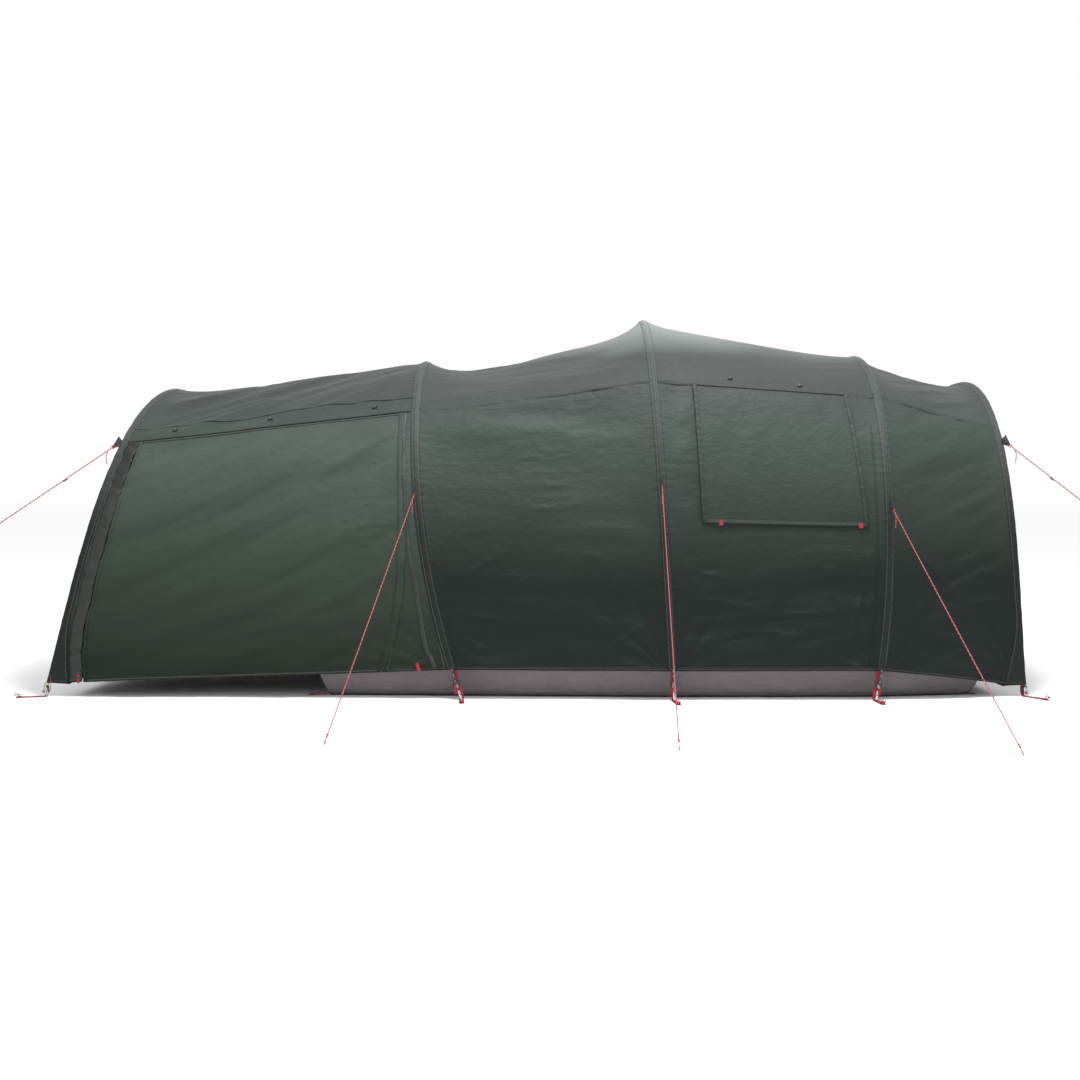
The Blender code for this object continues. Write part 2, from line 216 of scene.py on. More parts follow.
def noise(place, seed):
    """Smooth noise from -1 to 1 over an array of flat places, whose cells are 1 wide."""
    cell = np.floor(place).astype(np.int64)
    part = place - cell
    part = part * part * part * (part * (part * 6 - 15) + 10)

    def corner(right, up):
        key = (cell[..., 0] + right) * 374761393 + (cell[..., 1] + up) * 668265263 + seed * 1442695041
        key = ((key ^ (key >> 13)) * 1274126177) & 0xFFFFFFFF
        return ((key ^ (key >> 16)) & 0xFFFF) / 32768.0 - 1

    low = mix(corner(0, 0), corner(1, 0), part[..., 0])
    high = mix(corner(0, 1), corner(1, 1), part[..., 0])
    return mix(low, high, part[..., 1])


def ridges(value, sharpness=2.0):
    """Narrow crests out of a wave or a noise: 1 on a crest and near 0 between crests."""
    return (1 - np.abs(value)) ** sharpness


def turned(s, t, degrees):
    """Places turned, so that the second number runs across folds that rise by that many degrees."""
    angle = math.radians(degrees)
    return s * math.cos(angle) + t * math.sin(angle), t * math.cos(angle) - s * math.sin(angle)


def stretched_noise(s, t, degrees, long, wide, seed):
    run, across = turned(s, t, degrees)
    return noise(np.stack([run / long, across / wide], -1), seed)


# Tension folds of each bay: degrees they rise rearwards, their length, their spacing and their height
TENSION = (
    (22, 1.00, 0.120, 0.0110),
    (-12, 0.80, 0.160, 0.0050),
    (9, 0.70, 0.120, 0.0045),
    (28, 0.60, 0.120, 0.0060),
)
# Creases: bay, then metres from the bay's front arch and height at both ends, and how proud it stands
CREASES = (
    (LIVING, 0.16, 0.62, 0.42, 0.74, 0.0035),
    (LIVING, 0.10, 0.44, 0.34, 0.40, 0.003),
    (LIVING, 0.06, 0.34, 0.22, 0.24, 0.003),
    (LIVING, 0.86, 0.22, 1.16, 0.40, 0.0035),
    (LIVING, 0.98, 0.30, 1.14, 0.22, 0.003),
    (LIVING, 0.40, 0.20, 0.82, 0.26, 0.002),
    (WINDOWED, 1.14, 0.75, 1.02, 0.20, 0.0045),
    (WINDOWED, 0.08, 0.66, 0.34, 0.62, 0.003),
    (WINDOWED, 0.06, 0.48, 0.28, 0.50, 0.0025),
    (WINDOWED, 0.42, 0.34, 0.90, 0.42, 0.002),
    (REAR, 0.06, 0.84, 0.34, 0.52, 0.004),
    (REAR, 0.18, 0.50, 0.52, 0.66, 0.0035),
    (REAR, 0.10, 0.36, 0.40, 0.28, 0.0035),
    (REAR, 0.36, 0.22, 0.62, 0.48, 0.004),
)
CREASE_WIDTH = 0.013
ARCH_CALM = 0.09  # how far from an arch the cloth is pulled smooth
FAN_REACH = 0.30  # how far the folds spread from a hem corner
PUCKER_REACH = 0.045
PUCKER_SPACING = 0.042


def crease_height(bay, s, height):
    total = np.zeros_like(s)
    for where, s0, z0, s1, z1, proud in CREASES:
        if where != bay:
            continue
        run = (s - s0) * (s1 - s0) + (height - z0) * (z1 - z0)
        share = np.clip(run / ((s1 - s0) ** 2 + (z1 - z0) ** 2), 0, 1)
        off = np.hypot(s - mix(s0, s1, share), height - mix(z0, z1, share))
        total += proud * np.sin(math.pi * mix(0.12, 0.88, share)) * np.exp(-(off / CREASE_WIDTH) ** 2)
    return total


def folds(bay, along, around, height):
    """How far the cloth stands out from the smooth fly, in metres."""
    depth = bpy.context.scene.tent_cloth.fold_depth
    s = along * BAY_LENGTH[bay]
    t = around * ROUND_LENGTH[bay]
    up = -np.abs(t)
    side = np.where(around < 0, 0.0, 31.0) + 17.0 * bay
    from_arch = np.minimum(s, BAY_LENGTH[bay] - s)
    calm = 1 - np.exp(-(from_arch / ARCH_CALM) ** 2)
    low = np.clip(1 - (height - 0.15) / 1.1, 0, 1)
    rise, long, wide, proud = TENSION[bay]
    total = 0.0055 * calm * noise(np.stack([s / 0.42 + side, t / 0.50], -1), 3)
    total += proud * calm * stretched_noise(s + side, up, rise, long, wide, 5)
    total += 0.45 * proud * calm * stretched_noise(s + side, up, rise + 7, long * 0.5, wide * 0.42, 7)
    crumple = ridges(stretched_noise(s + side, up, rise * 0.5, 0.30, 0.085, 11), 3.0)
    patch = np.clip(noise(np.stack([s / 0.33 + side, t / 0.29], -1), 13) + 0.25 + 0.3 * low, 0, 1)
    total += 0.0062 * calm * crumple * patch * (0.35 + 0.65 * low)
    fine = ridges(stretched_noise(s + side, up, 4, 0.16, 0.030, 17), 2.5)
    total += 0.0022 * calm * fine * patch
    total += crease_height(bay, s, height) * calm
    for corner in (0.0, BAY_LENGTH[bay]):
        away = np.hypot(s - corner, height - 0.13)
        turn = np.arctan2(height - 0.13, np.abs(s - corner) + 1e-6)
        fan = np.sin(turn * 17 + side) + 0.5 * np.sin(turn * 29 + 2 * side)
        total += 0.0028 * fan * np.exp(-away / FAN_REACH) * np.clip(away / 0.10, 0, 1)
    waves = t / PUCKER_SPACING * 2 * math.pi
    jitter = 3.0 * noise(np.stack([t / 0.13 + side, np.round(s) * 5.0 + 0.5], -1), 19)
    total += 0.0011 * np.sin(waves + jitter) * np.exp(-from_arch / PUCKER_REACH)
    seam_off = np.abs(np.abs(around) - seam(bay, along)) * ROUND_LENGTH[bay]
    seam_waves = s / 0.050 * 2 * math.pi + 2.5 * noise(np.stack([s / 0.2 + side, t * 0 + 0.5], -1), 23)
    if bay == AWNING:
        total *= 1 - 0.92 * np.exp(-(seam_off / 0.07) ** 2)
    puckered = 0.0004 if bay == AWNING else 0.0001
    total += puckered * np.sin(seam_waves) * np.exp(-seam_off / 0.03)
    if bay == WINDOWED:
        wander = 3 * noise(np.stack([s / 0.2 + side, t / 0.1], -1), 29)
        crinkle = ridges(np.sin(height / 0.045 * math.pi + wander))
        near_arch = np.exp(-s / 0.13) * np.clip(s / 0.03, 0, 1)
        total += 0.0020 * crinkle * near_arch * np.clip(1.3 - height, 0, 1)
        behind = np.clip((height - 0.72) / 0.08, 0, 1) * np.clip((along - 0.10) / 0.05, 0, 1)
        total *= 1 - 0.75 * behind * np.clip((0.97 - along) / 0.05, 0, 1)
    return total * depth


def skin(bay, along, around, lift=0.0):
    """Points of the fly with its folds, lifted off it by a distance, and its outward directions."""
    along, around = np.broadcast_arrays(np.asarray(along, float), np.asarray(around, float))
    smooth = fly(bay, along, around)
    out = outward(bay, along, around)
    height = folds(bay, along, around, smooth[..., 2]) + lift
    return smooth + out * np.asarray(height)[..., None], out


def wall_around(bay, along, down, side):
    """How far round the fly a wall is, from the seam (0) to the hem (1)."""
    return side * mix(seam(bay, along), 1.0, down)


# Making pieces

def finished(name, shape, material, body, replaces=(), smooth=True, uv=None, layers=None):
    """A finished object from a bmesh, with its place in its mesh, riding on a body of the frame."""
    mesh = bpy.data.meshes.new(name)
    shape.to_mesh(mesh)
    shape.free()
    if smooth:
        mesh.shade_smooth()
    else:
        mesh.shade_smooth()
        mesh.set_sharp_from_angle(angle=math.radians(40))
    mesh.materials.append(material)
    if uv is not None:
        corners = np.empty(len(mesh.loops), np.int32)
        mesh.loops.foreach_get("vertex_index", corners)
        mesh.uv_layers.new(name="Cloth").data.foreach_set("uv", uv[corners].astype(np.float32).ravel())
    for layer, values in (layers or {}).items():
        mesh.attributes.new(layer, "FLOAT", "POINT").data.foreach_set("value", values.astype(np.float32))
    made = bpy.data.objects.new(name, mesh)
    bpy.context.scene.collection.objects.link(made)
    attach(made, body)
    if replaces:
        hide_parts(*replaces)
    return made


def thicken(made, thickness, offset=-1.0):
    shell = made.modifiers.new("Thickness", "SOLIDIFY")
    shell.thickness = thickness
    shell.offset = offset
    return made


def grid_places(shape):
    places = np.array([vert.co[:2] for vert in shape.verts])
    low, high = places.min(0), places.max(0)
    places = (places - low) / (high - low)
    return places[:, 0], places[:, 1]


def face_outwards(shape, middle):
    """Turn an open sheet's faces away from a point."""
    shape.normal_update()
    total = 0.0
    for face in shape.faces:
        total += face.normal.dot(face.calc_center_median() - middle) * face.calc_area()
    if total < 0:
        bmesh.ops.reverse_faces(shape, faces=shape.faces)


TENT_MIDDLE = Vector((0.0, 0.0, 0.7))


def cloth(name, cells, place, size, material, body, slot, replaces=(), hole=None, middle=TENT_MIDDLE):
    """A sheet of cloth on a grid. place gives the points for shares across and down the sheet, size is
    its width and length in metres, and hole says which shares are cut out of it."""
    shape = bmesh.new()
    bmesh.ops.create_grid(shape, x_segments=cells[0], y_segments=cells[1], size=0.5)
    if hole:
        inside = [f for f in shape.faces if hole(f.calc_center_median().x + 0.5,
                                                 f.calc_center_median().y + 0.5)]
        bmesh.ops.delete(shape, geom=inside, context="FACES")
    u, v = grid_places(shape)
    points = place(u, v)
    for vert, point in zip(shape.verts, points):
        vert.co = point
    face_outwards(shape, middle)
    edge = np.minimum(np.minimum(u, 1 - u) * size[0], np.minimum(v, 1 - v) * size[1])
    uv = np.stack([u * size[0], v * size[1]], -1)
    made = finished(name, shape, material, body, replaces, uv=uv, layers={"edge": edge})
    return thicken(made, bpy.context.scene.tent_cloth.thickness)


def cells_for(size):
    cell = bpy.context.scene.tent_cloth.cell
    return tuple(max(2, round(length / cell)) for length in size)


def cut_size(place, lines=5, steps=60):
    """A sheet's flat width and length, measured along lines spread over it."""
    widths, lengths = [], []
    run = np.linspace(0, 1, steps)
    for share in np.linspace(0.05, 0.95, lines):
        widths.append(np.linalg.norm(np.diff(place(run, np.full(steps, share)), axis=0), axis=1).sum())
        lengths.append(np.linalg.norm(np.diff(place(np.full(steps, share), run), axis=0), axis=1).sum())
    return round(float(np.mean(widths)), 2), round(float(np.mean(lengths)), 2)


def declared_cloth(name, place, material, body, slot, replaces, rests_on, held="stretched", **more):
    size = cut_size(place)
    cells = more.pop("cells", None) or cells_for(size)
    made = cloth(name, cells, place, size, material, body, slot, replaces, **more)
    return made


def strip(name, path, out, width, material, body, lift=0.001, crown=0.0, puckers=0.0, across_cells=4,
          thickness=0.001, replaces=(), offset=1.0):
    """A band of tape along a path, flat against a surface whose outward directions are given."""
    along = unit(np.gradient(path, axis=0))
    across = unit(np.cross(along, out))
    last = len(path) - 1
    length = float(np.linalg.norm(np.diff(path, axis=0), axis=1).sum())
    shape = bmesh.new()
    bmesh.ops.create_grid(shape, x_segments=across_cells, y_segments=last, size=0.5)
    u, v = grid_places(shape)
    row = np.rint(v * last).astype(int)
    height = lift + crown * 4 * u * (1 - u)
    if puckers:
        wave = noise(np.stack([v * length / 0.022, u * 1.3], -1), 41)
        height = height + puckers * wave
    points = path[row] + across[row] * ((u - 0.5) * width)[:, None] + out[row] * height[:, None]
    for vert, point in zip(shape.verts, points):
        vert.co = point
    shape.normal_update()
    facing = sum(f.normal.dot(Vector(out[min(k // max(1, across_cells), last)])) for k,
                 f in enumerate(shape.faces))
    if facing < 0:
        bmesh.ops.reverse_faces(shape, faces=shape.faces)
    edge = np.minimum(u, 1 - u) * width
    uv = np.stack([u * width, v * length], -1)
    made = finished(name, shape, material, body, replaces, uv=uv, layers={"edge": edge})
    return thicken(made, thickness, offset)


def smooth_path(points, count):
    """Evenly spaced points on a smooth curve through a few points."""
    points = np.array(points, float)
    padded = np.vstack([2 * points[0] - points[1], points, 2 * points[-1] - points[-2]])
    run = np.linspace(0, len(points) - 1, count * 4)
    at = np.minimum(run.astype(int), len(points) - 2)
    part = (run - at)[:, None]
    a, b, c, d = (padded[at + k] for k in range(4))
    curve = 0.5 * (2 * b + (c - a) * part + (2 * a - 5 * b + 4 * c - d) * part ** 2
                   + (3 * b - a - 3 * c + d) * part ** 3)
    lengths = np.concatenate([[0], np.cumsum(np.linalg.norm(np.diff(curve, axis=0), axis=1))])
    even = np.linspace(0, lengths[-1], count)
    return np.stack([np.interp(even, lengths, curve[:, k]) for k in range(3)], -1)


def ring_frames(path):
    """Two directions across a path at each of its points, without twist."""
    along = unit(np.gradient(path, axis=0))
    first = np.cross(along[0], [0.0, 0.0, 1.0] if abs(along[0][2]) < 0.9 else [1.0, 0.0, 0.0])
    sides = [first / np.linalg.norm(first)]
    for direction in along[1:]:
        moved = sides[-1] - direction * np.dot(sides[-1], direction)
        sides.append(moved / np.linalg.norm(moved))
    sides = np.array(sides)
    return sides, np.cross(along, sides)


def tube_shape(shape, path, radius, around=8):
    """A closed tube along a path, added to a bmesh, with its length and turn kept in its UV map."""
    path = np.asarray(path, float)
    radii = np.broadcast_to(np.asarray(radius, float), len(path))
    side, other = ring_frames(path)
    runs = np.concatenate([[0], np.cumsum(np.linalg.norm(np.diff(path, axis=0), axis=1))])
    made = bmesh.ops.create_grid(shape, x_segments=around, y_segments=len(path) - 1, size=0.5)["verts"]
    places = np.array([vert.co[:2] for vert in made]) + 0.5
    row = np.rint(places[:, 1] * (len(path) - 1)).astype(int)
    turn = places[:, 0] * 2 * math.pi
    ring = side[row] * np.cos(turn)[:, None] + other[row] * np.sin(turn)[:, None]
    points = path[row] + ring * radii[row][:, None]
    uv = shape.loops.layers.uv.verify()
    for vert, point, share, at in zip(made, points, places[:, 0], row):
        vert.co = point
        for loop in vert.link_loops:
            loop[uv].uv = (share, runs[at])
    bmesh.ops.remove_doubles(shape, verts=made, dist=1e-6)
    made = [vert for vert in made if vert.is_valid]
    edges = list({edge for vert in made for edge in vert.link_edges if edge.is_boundary})
    bmesh.ops.holes_fill(shape, edges=edges, sides=around)
    faces = list({face for vert in made for face in vert.link_faces})
    bmesh.ops.recalc_face_normals(shape, faces=faces)


def tube(name, path, radius, material, body, replaces=(), around=8):
    shape = bmesh.new()
    tube_shape(shape, path, radius, around)
    return finished(name, shape, material, body, replaces, smooth=False)


def block(shape, size, matrix, bevel):
    """A bevelled block added to a bmesh."""
    made = bmesh.ops.create_cube(shape, size=1.0)["verts"]
    bmesh.ops.scale(shape, vec=size, verts=made)
    edges = list({edge for vert in made for edge in vert.link_edges})
    bevelled = bmesh.ops.bevel(
        shape, geom=edges, offset=bevel, offset_type="OFFSET", affect="EDGES", segments=3, profile=0.5,
        material=-1
    )
    verts = {vert for face in bevelled["faces"] for vert in face.verts}
    verts |= {vert for vert in made if vert.is_valid}
    bmesh.ops.transform(shape, matrix=matrix, verts=list(verts))


def facing(place, x_axis, z_axis):
    """A matrix that puts a part at a place with two of its axes turned to given directions."""
    z_axis = Vector(z_axis).normalized()
    x_axis = Vector(x_axis)
    x_axis = (x_axis - z_axis * x_axis.dot(z_axis)).normalized()
    y_axis = z_axis.cross(x_axis)
    turn = Matrix((x_axis, y_axis, z_axis)).transposed().to_4x4()
    return Matrix.Translation(Vector(place)) @ turn


# Materials

class Value:
    """An output socket that sums can be written with."""

    def __init__(self, graph, socket):
        self.graph = graph
        self.socket = socket

    def sum(self, operation, a, b=None):
        return self.graph.add("ShaderNodeMath", {"operation": operation}, {0: a, 1: b})

    def __add__(self, other):
        return self.sum("ADD", self, other)

    def __radd__(self, other):
        return self.sum("ADD", other, self)

    def __sub__(self, other):
        return self.sum("SUBTRACT", self, other)

    def __rsub__(self, other):
        return self.sum("SUBTRACT", other, self)

    def __mul__(self, other):
        return self.sum("MULTIPLY", self, other)

    def __rmul__(self, other):
        return self.sum("MULTIPLY", other, self)

    def __truediv__(self, other):
        return self.sum("DIVIDE", self, other)

    def __pow__(self, other):
        return self.sum("POWER", self, other)

    def __lt__(self, other):
        return self.sum("LESS_THAN", self, other)

    def __gt__(self, other):
        return self.sum("GREATER_THAN", self, other)

    def fraction(self):
        return self.sum("FRACT", self)

    def size(self):
        return self.sum("ABSOLUTE", self)

    def wave(self):
        return self.sum("SINE", self)


class Graph:
    """The nodes of one material."""

    def __init__(self, name):
        self.material = bpy.data.materials.new(name)
        self.material.use_nodes = True
        self.tree = self.material.node_tree
        self.shader = self.tree.nodes["Principled BSDF"]

    def add(self, kind, settings=None, sockets=None, output=0):
        """A node of a kind, with its settings made first, then its sockets' values or links."""
        node = self.tree.nodes.new(kind)
        settings = dict(settings or {})
        stops = settings.pop("stops", None)
        for name, value in settings.items():
            setattr(node, name, value)
        if stops:
            elements = node.color_ramp.elements
            while len(elements) < len(stops):
                elements.new(0.5)
            for element, (place, colour) in zip(elements, stops):
                element.position = place
                element.color = (*colour, 1.0)
        for name, value in (sockets or {}).items():
            self.join(value, node.inputs[name])
        return Value(self, node.outputs[output])

    def join(self, value, socket):
        if isinstance(value, Value):
            self.tree.links.new(value.socket, socket)
        elif value is not None:
            socket.default_value = value

    def place(self):
        return self.add("ShaderNodeTexCoord", output="Object")

    def cloth_place(self):
        return self.add("ShaderNodeTexCoord", output="UV")

    def part(self, vector, axis):
        return self.add("ShaderNodeSeparateXYZ", None, {0: vector}, axis)

    def edge(self):
        return self.add("ShaderNodeAttribute", {"attribute_name": "edge"}, output="Fac")

    def noise(self, vector, scale, detail=3.0, stretch=None):
        if stretch:
            vector = self.add("ShaderNodeMapping", None, {"Vector": vector, "Scale": stretch})
        sockets = {"Vector": vector, "Scale": scale, "Detail": detail, "Roughness": 0.55}
        return self.add("ShaderNodeTexNoise", None, sockets, "Fac")

    def ramp(self, factor, stops):
        return self.add("ShaderNodeValToRGB", {"stops": stops}, {"Fac": factor}, "Color")

    def paint(self, factor, under, over):
        return self.add("ShaderNodeMix", {"data_type": "RGBA"}, {0: factor, 6: under, 7: over}, 2)

    def shade(self, colour, factor):
        return self.add("ShaderNodeVectorMath", {"operation": "SCALE"}, {0: colour, "Scale": factor})

    def bump(self, height, distance, strength=1.0):
        sockets = {"Height": height, "Distance": distance, "Strength": strength}
        return self.add("ShaderNodeBump", None, sockets)

    def finish(self, **sockets):
        for name, value in sockets.items():
            self.join(value, self.shader.inputs[name.replace("_", " ")])
        return self.material


MATERIALS = {}


def opaque(colour):
    return (*colour, 1.0)


def fly_cloth(name, tones, stitched=True, sheen=0.05):
    """Coated ripstop: its tone changes with height as painted light, darker low down as painted shade and
    lighter at the ridge as a painted sheen, with faint mottling, creases, and a stitched edge with painted
    shade along its fold.
    """
    graph = Graph(name)
    place = graph.place()
    weave = graph.cloth_place()
    height = graph.part(place, "Z")
    broad = graph.noise(place, 1.1, 2.0)
    # Painted light: the colour ramps with height, from painted shade low on the walls to a painted sheen of
    # the sky at the ridge.
    level = height / 2.1 + (broad - 0.5) * 0.10
    colour = graph.ramp(level, tones)
    mottle = graph.noise(place, 7.0, 5.0)
    streaks = graph.noise(place, 3.0, 4.0, stretch=(1.0, 1.0, 6.0))
    colour = graph.shade(colour, 0.82 + 0.22 * mottle + 0.14 * streaks)
    across = graph.part(weave, "X")
    down = graph.part(weave, "Y")
    grid = ((across / 0.0055).fraction() < 0.10) + ((down / 0.0055).fraction() < 0.10)
    colour = graph.shade(colour, 1.0 - 0.06 * grid)
    crinkle = graph.noise(place, 16.0, 6.0, stretch=(1.0, 1.0, 1.8))
    fine = graph.noise(place, 60.0, 4.0)
    relief = 0.8 * crinkle + 0.20 * fine + 0.02 * grid
    if stitched:
        edge = graph.edge()
        row = (edge - 0.009).size() < 0.0011
        gap = ((across + down) / 0.0042).fraction() < 0.66
        stitches = row * gap
        # Painted shade: the cloth is darkened along its folded edge, where shade falls in the fold.
        fold = edge < 0.013
        colour = graph.shade(colour, 1.0 - 0.06 * fold)
        colour = graph.paint(stitches * 0.7, colour, (0.10, 0.11, 0.10, 1.0))
        relief = relief + 0.05 * fold - 0.06 * row
    rough = 0.46 + 0.16 * mottle
    return graph.finish(
        Base_Color=colour, Roughness=rough, Normal=graph.bump(relief, 0.011, 0.80),
        Sheen_Weight=sheen, Sheen_Roughness=0.45, Specular_IOR_Level=0.18,
    )


def plain_cloth(name, tone, contrast=0.25, relief=0.003, roughness=0.75):
    graph = Graph(name)
    place = graph.place()
    cloud = graph.noise(place, 6.0, 5.0)
    fine = graph.noise(place, 45.0, 5.0)
    colour = graph.shade(tuple(tone), 1.0 - contrast / 2 + contrast * cloud)
    height = 0.7 * cloud + 0.3 * fine
    return graph.finish(Base_Color=colour, Roughness=roughness, Normal=graph.bump(height, relief, 0.8))


def skirt_cloth(name, tone):
    """Woven sheeting: fine crossed tapes, crinkled, darker near the ground."""
    graph = Graph(name)
    place = graph.place()
    weave = graph.cloth_place()
    across = graph.part(weave, "X")
    down = graph.part(weave, "Y")
    tapes = (across * (2 * math.pi / 0.0024)).wave() * (down * (2 * math.pi / 0.0024)).wave()
    crease = graph.noise(place, 14.0, 6.0, stretch=(1.0, 1.0, 2.5))
    cloud = graph.noise(place, 3.0, 4.0)
    # The sheet is darker below 3 cm above the ground.
    near_ground = graph.part(place, "Z") < 0.03
    colour = graph.shade(tuple(tone), 0.75 + 0.30 * crease + 0.20 * cloud)
    colour = graph.shade(colour, 1.0 - 0.12 * near_ground)
    height = crease + 0.02 * tapes
    return graph.finish(Base_Color=colour, Roughness=0.55 + 0.2 * cloud,
                        Normal=graph.bump(height, 0.030, 0.9))


def webbing(name, tone):
    """Flat woven tape: ribs along its length, and a darker band along each edge."""
    graph = Graph(name)
    weave = graph.cloth_place()
    across = graph.part(weave, "X")
    along = graph.part(weave, "Y")
    ribs = (across * (2 * math.pi / 0.0018)).wave() + 0.6 * (along * (2 * math.pi / 0.0014)).wave()
    edge = graph.edge()
    bound = edge < 0.002
    worn = graph.noise(graph.place(), 60.0, 4.0)
    colour = graph.shade(tuple(tone), 0.80 + 0.07 * ribs + 0.30 * worn - 0.15 * bound)
    return graph.finish(Base_Color=colour, Roughness=0.72, Normal=graph.bump(ribs, 0.0005, 0.8))


def rope_braid(name, main, fleck):
    """A braid with a pale tracer winding round it."""
    graph = Graph(name)
    weave = graph.cloth_place()
    turn = graph.part(weave, "X")
    run = graph.part(weave, "Y")
    tracer = (run / 0.030 + turn).fraction() < 0.16
    second = (run / 0.030 - turn).fraction() < 0.10
    strands = (run * (2 * math.pi / 0.0028) + turn * (8 * math.pi)).wave()
    pale = tracer + second > 0.5
    colour = graph.paint(pale, opaque(main), opaque(fleck))
    colour = graph.shade(colour, 0.86 + 0.16 * strands)
    return graph.finish(Base_Color=colour, Roughness=0.7, Normal=graph.bump(strands, 0.0005, 0.8))


def plastic(name, tone, roughness=0.4):
    graph = Graph(name)
    grain = graph.noise(graph.place(), 260.0, 3.0)
    cloud = graph.noise(graph.place(), 20.0, 3.0)
    colour = graph.shade(tuple(tone), 0.85 + 0.3 * cloud)
    rough = roughness - 0.08 + 0.16 * grain
    return graph.finish(Base_Color=colour, Roughness=rough, Normal=graph.bump(grain, 0.0002, 0.5))


def pole_coating(name, tone):
    """Wrapped fibreglass: fine spiral wrapping under a satin skin, scuffed."""
    graph = Graph(name)
    place = graph.place()
    wraps = graph.noise(place, 180.0, 2.0, stretch=(0.3, 0.3, 1.0))
    scuffs = graph.noise(place, 30.0, 6.0)
    colour = graph.shade(tuple(tone), 0.8 + 0.5 * scuffs)
    return graph.finish(
        Base_Color=colour, Roughness=0.25 + 0.3 * scuffs, Normal=graph.bump(wraps, 0.0003, 0.6),
        Coat_Weight=0.2
    )


def steel(name, tone):
    graph = Graph(name)
    marks = graph.noise(graph.place(), 90.0, 5.0, stretch=(1.0, 1.0, 4.0))
    colour = graph.shade(tuple(tone), 0.85 + 0.3 * marks)
    return graph.finish(
        Base_Color=colour, Metallic=1.0, Roughness=0.22 + 0.25 * marks,
        Normal=graph.bump(marks, 0.0002, 0.5)
    )


def clear_film(name, tone):
    graph = Graph(name)
    place = graph.place()
    ripple = graph.noise(place, 5.0, 3.0)
    dust = graph.noise(place, 70.0, 4.0)
    return graph.finish(
        Base_Color=graph.shade(tuple(tone), 0.9 + 0.2 * dust), Roughness=0.06 + 0.10 * dust,
        Normal=graph.bump(ripple, 0.01, 0.6), Alpha=0.32 + 0.12 * dust,
    )


def levels(*stops):
    return [(height / 2.1, tuple(colour)) for height, colour in stops]


def make_materials():
    """Every finish of the tent, made once."""
    tones = bpy.context.scene.tent_colours
    # Painted light: these ramps darken the cloth low down as painted shade and lighten the ridge as a
    # painted reflection of the sky. The awning's doors have their own copy of the tones, set lighter or
    # darker than the walls to make up for how their bay is lit.
    wall = levels((0.12, tones.wall_low), (0.62, tones.wall_low), (1.10, tones.wall_middle),
                  (1.42, tones.wall_high), (1.60, tones.roof), (1.80, tones.roof), (2.02, tones.roof_ridge))
    awning = levels((0.12, tones.awning_low), (0.80, tones.awning_middle), (1.28, tones.awning_high),
                    (1.55, tones.roof))
    sleeve = levels((0.12, tones.sleeve_low), (0.85, tones.sleeve_low), (1.4, tones.sleeve_high),
                    (1.80, tones.sleeve_high), (2.05, tones.roof_ridge))
    MATERIALS.update(
        wall=fly_cloth("wall_cloth", wall),
        awning=fly_cloth("awning_cloth", awning),
        roof=fly_cloth("roof_cloth", wall),
        wall_strip=fly_cloth("wall_strip_cloth", wall, stitched=False),
        awning_strip=fly_cloth("awning_strip_cloth", awning, stitched=False),
        sleeve=fly_cloth("sleeve_cloth", sleeve),
        flap=plain_cloth("flap_cloth", tones.flap, contrast=0.5, relief=0.006),
        # Painted shade: the storm flap's tone is set darker than the door cloth for the shade in its
        # puckers.
        storm=plain_cloth("storm_flap_cloth", tones.storm_flap, contrast=0.7, relief=0.010, roughness=0.6),
        tape=plain_cloth("seam_tape", tones.tape, contrast=0.3),
        skirt=skirt_cloth("skirt_cloth", tones.skirt),
        film=clear_film("window_film", (0.62, 0.66, 0.65)),
        red=webbing("red_webbing", tones.webbing),
        black=webbing("black_webbing", (0.016, 0.017, 0.017)),
        grey=webbing("grey_webbing", (0.42, 0.43, 0.44)),
        rope=rope_braid("rope_braid", tones.rope, tones.rope_fleck),
        elastic=rope_braid("elastic_cord", (0.02, 0.02, 0.02), (0.55, 0.55, 0.55)),
        plastic=plastic("black_plastic", (0.014, 0.014, 0.015)),
        red_plastic=plastic("red_plastic", (0.45, 0.012, 0.02)),
        pole=pole_coating("pole_coating", (0.016, 0.016, 0.018)),
        mark=plastic("pole_mark", (0.40, 0.50, 0.03)),
        steel=steel("steel", (0.62, 0.62, 0.64)),
    )


# Pieces of the fly

def roof_place(bay):
    gap = 0.0025 / ROUND_LENGTH[bay] if bay == AWNING else 0.0

    def place(u, v):
        return skin(bay, u, (seam(bay, u) - gap) * (2 * v - 1))[0]
    return place


def wall_place(bay, side, front=0.0, rear=1.0):
    """Points of a wall between two shares of its bay, each a number or a function of the share down."""
    gap = 0.003 / ROUND_LENGTH[bay] if bay == AWNING else 0.0

    def place(u, v):
        first = front(v) if callable(front) else front
        last = rear(v) if callable(rear) else rear
        along = mix(first, last, u)
        around = side * mix(seam(bay, along) + gap, 1.0, v)
        return skin(bay, along, around)[0]
    return place


def door_rear(down):
    return DOOR_REAR_TOP - DOOR_REAR_NARROWING * down ** DOOR_REAR_POWER


def run_on_fly(bay, along, around, count=60, lift=0.0):
    """A line of points on the fly between two places, with its outward directions."""
    share = np.linspace(0, 1, count)
    return skin(bay, mix(*along, share), mix(*around, share), lift)


def hem_path(bay, side, first=0.0, last=1.0, count=90):
    return run_on_fly(bay, (first, last), (side * 0.996, side * 0.996), count)


def seam_path(bay, side, first=0.0, last=1.0, count=90, above=0.0):
    share = np.linspace(first, last, count)
    around = side * (seam(bay, share) - above / ROUND_LENGTH[bay])
    return skin(bay, share, around)


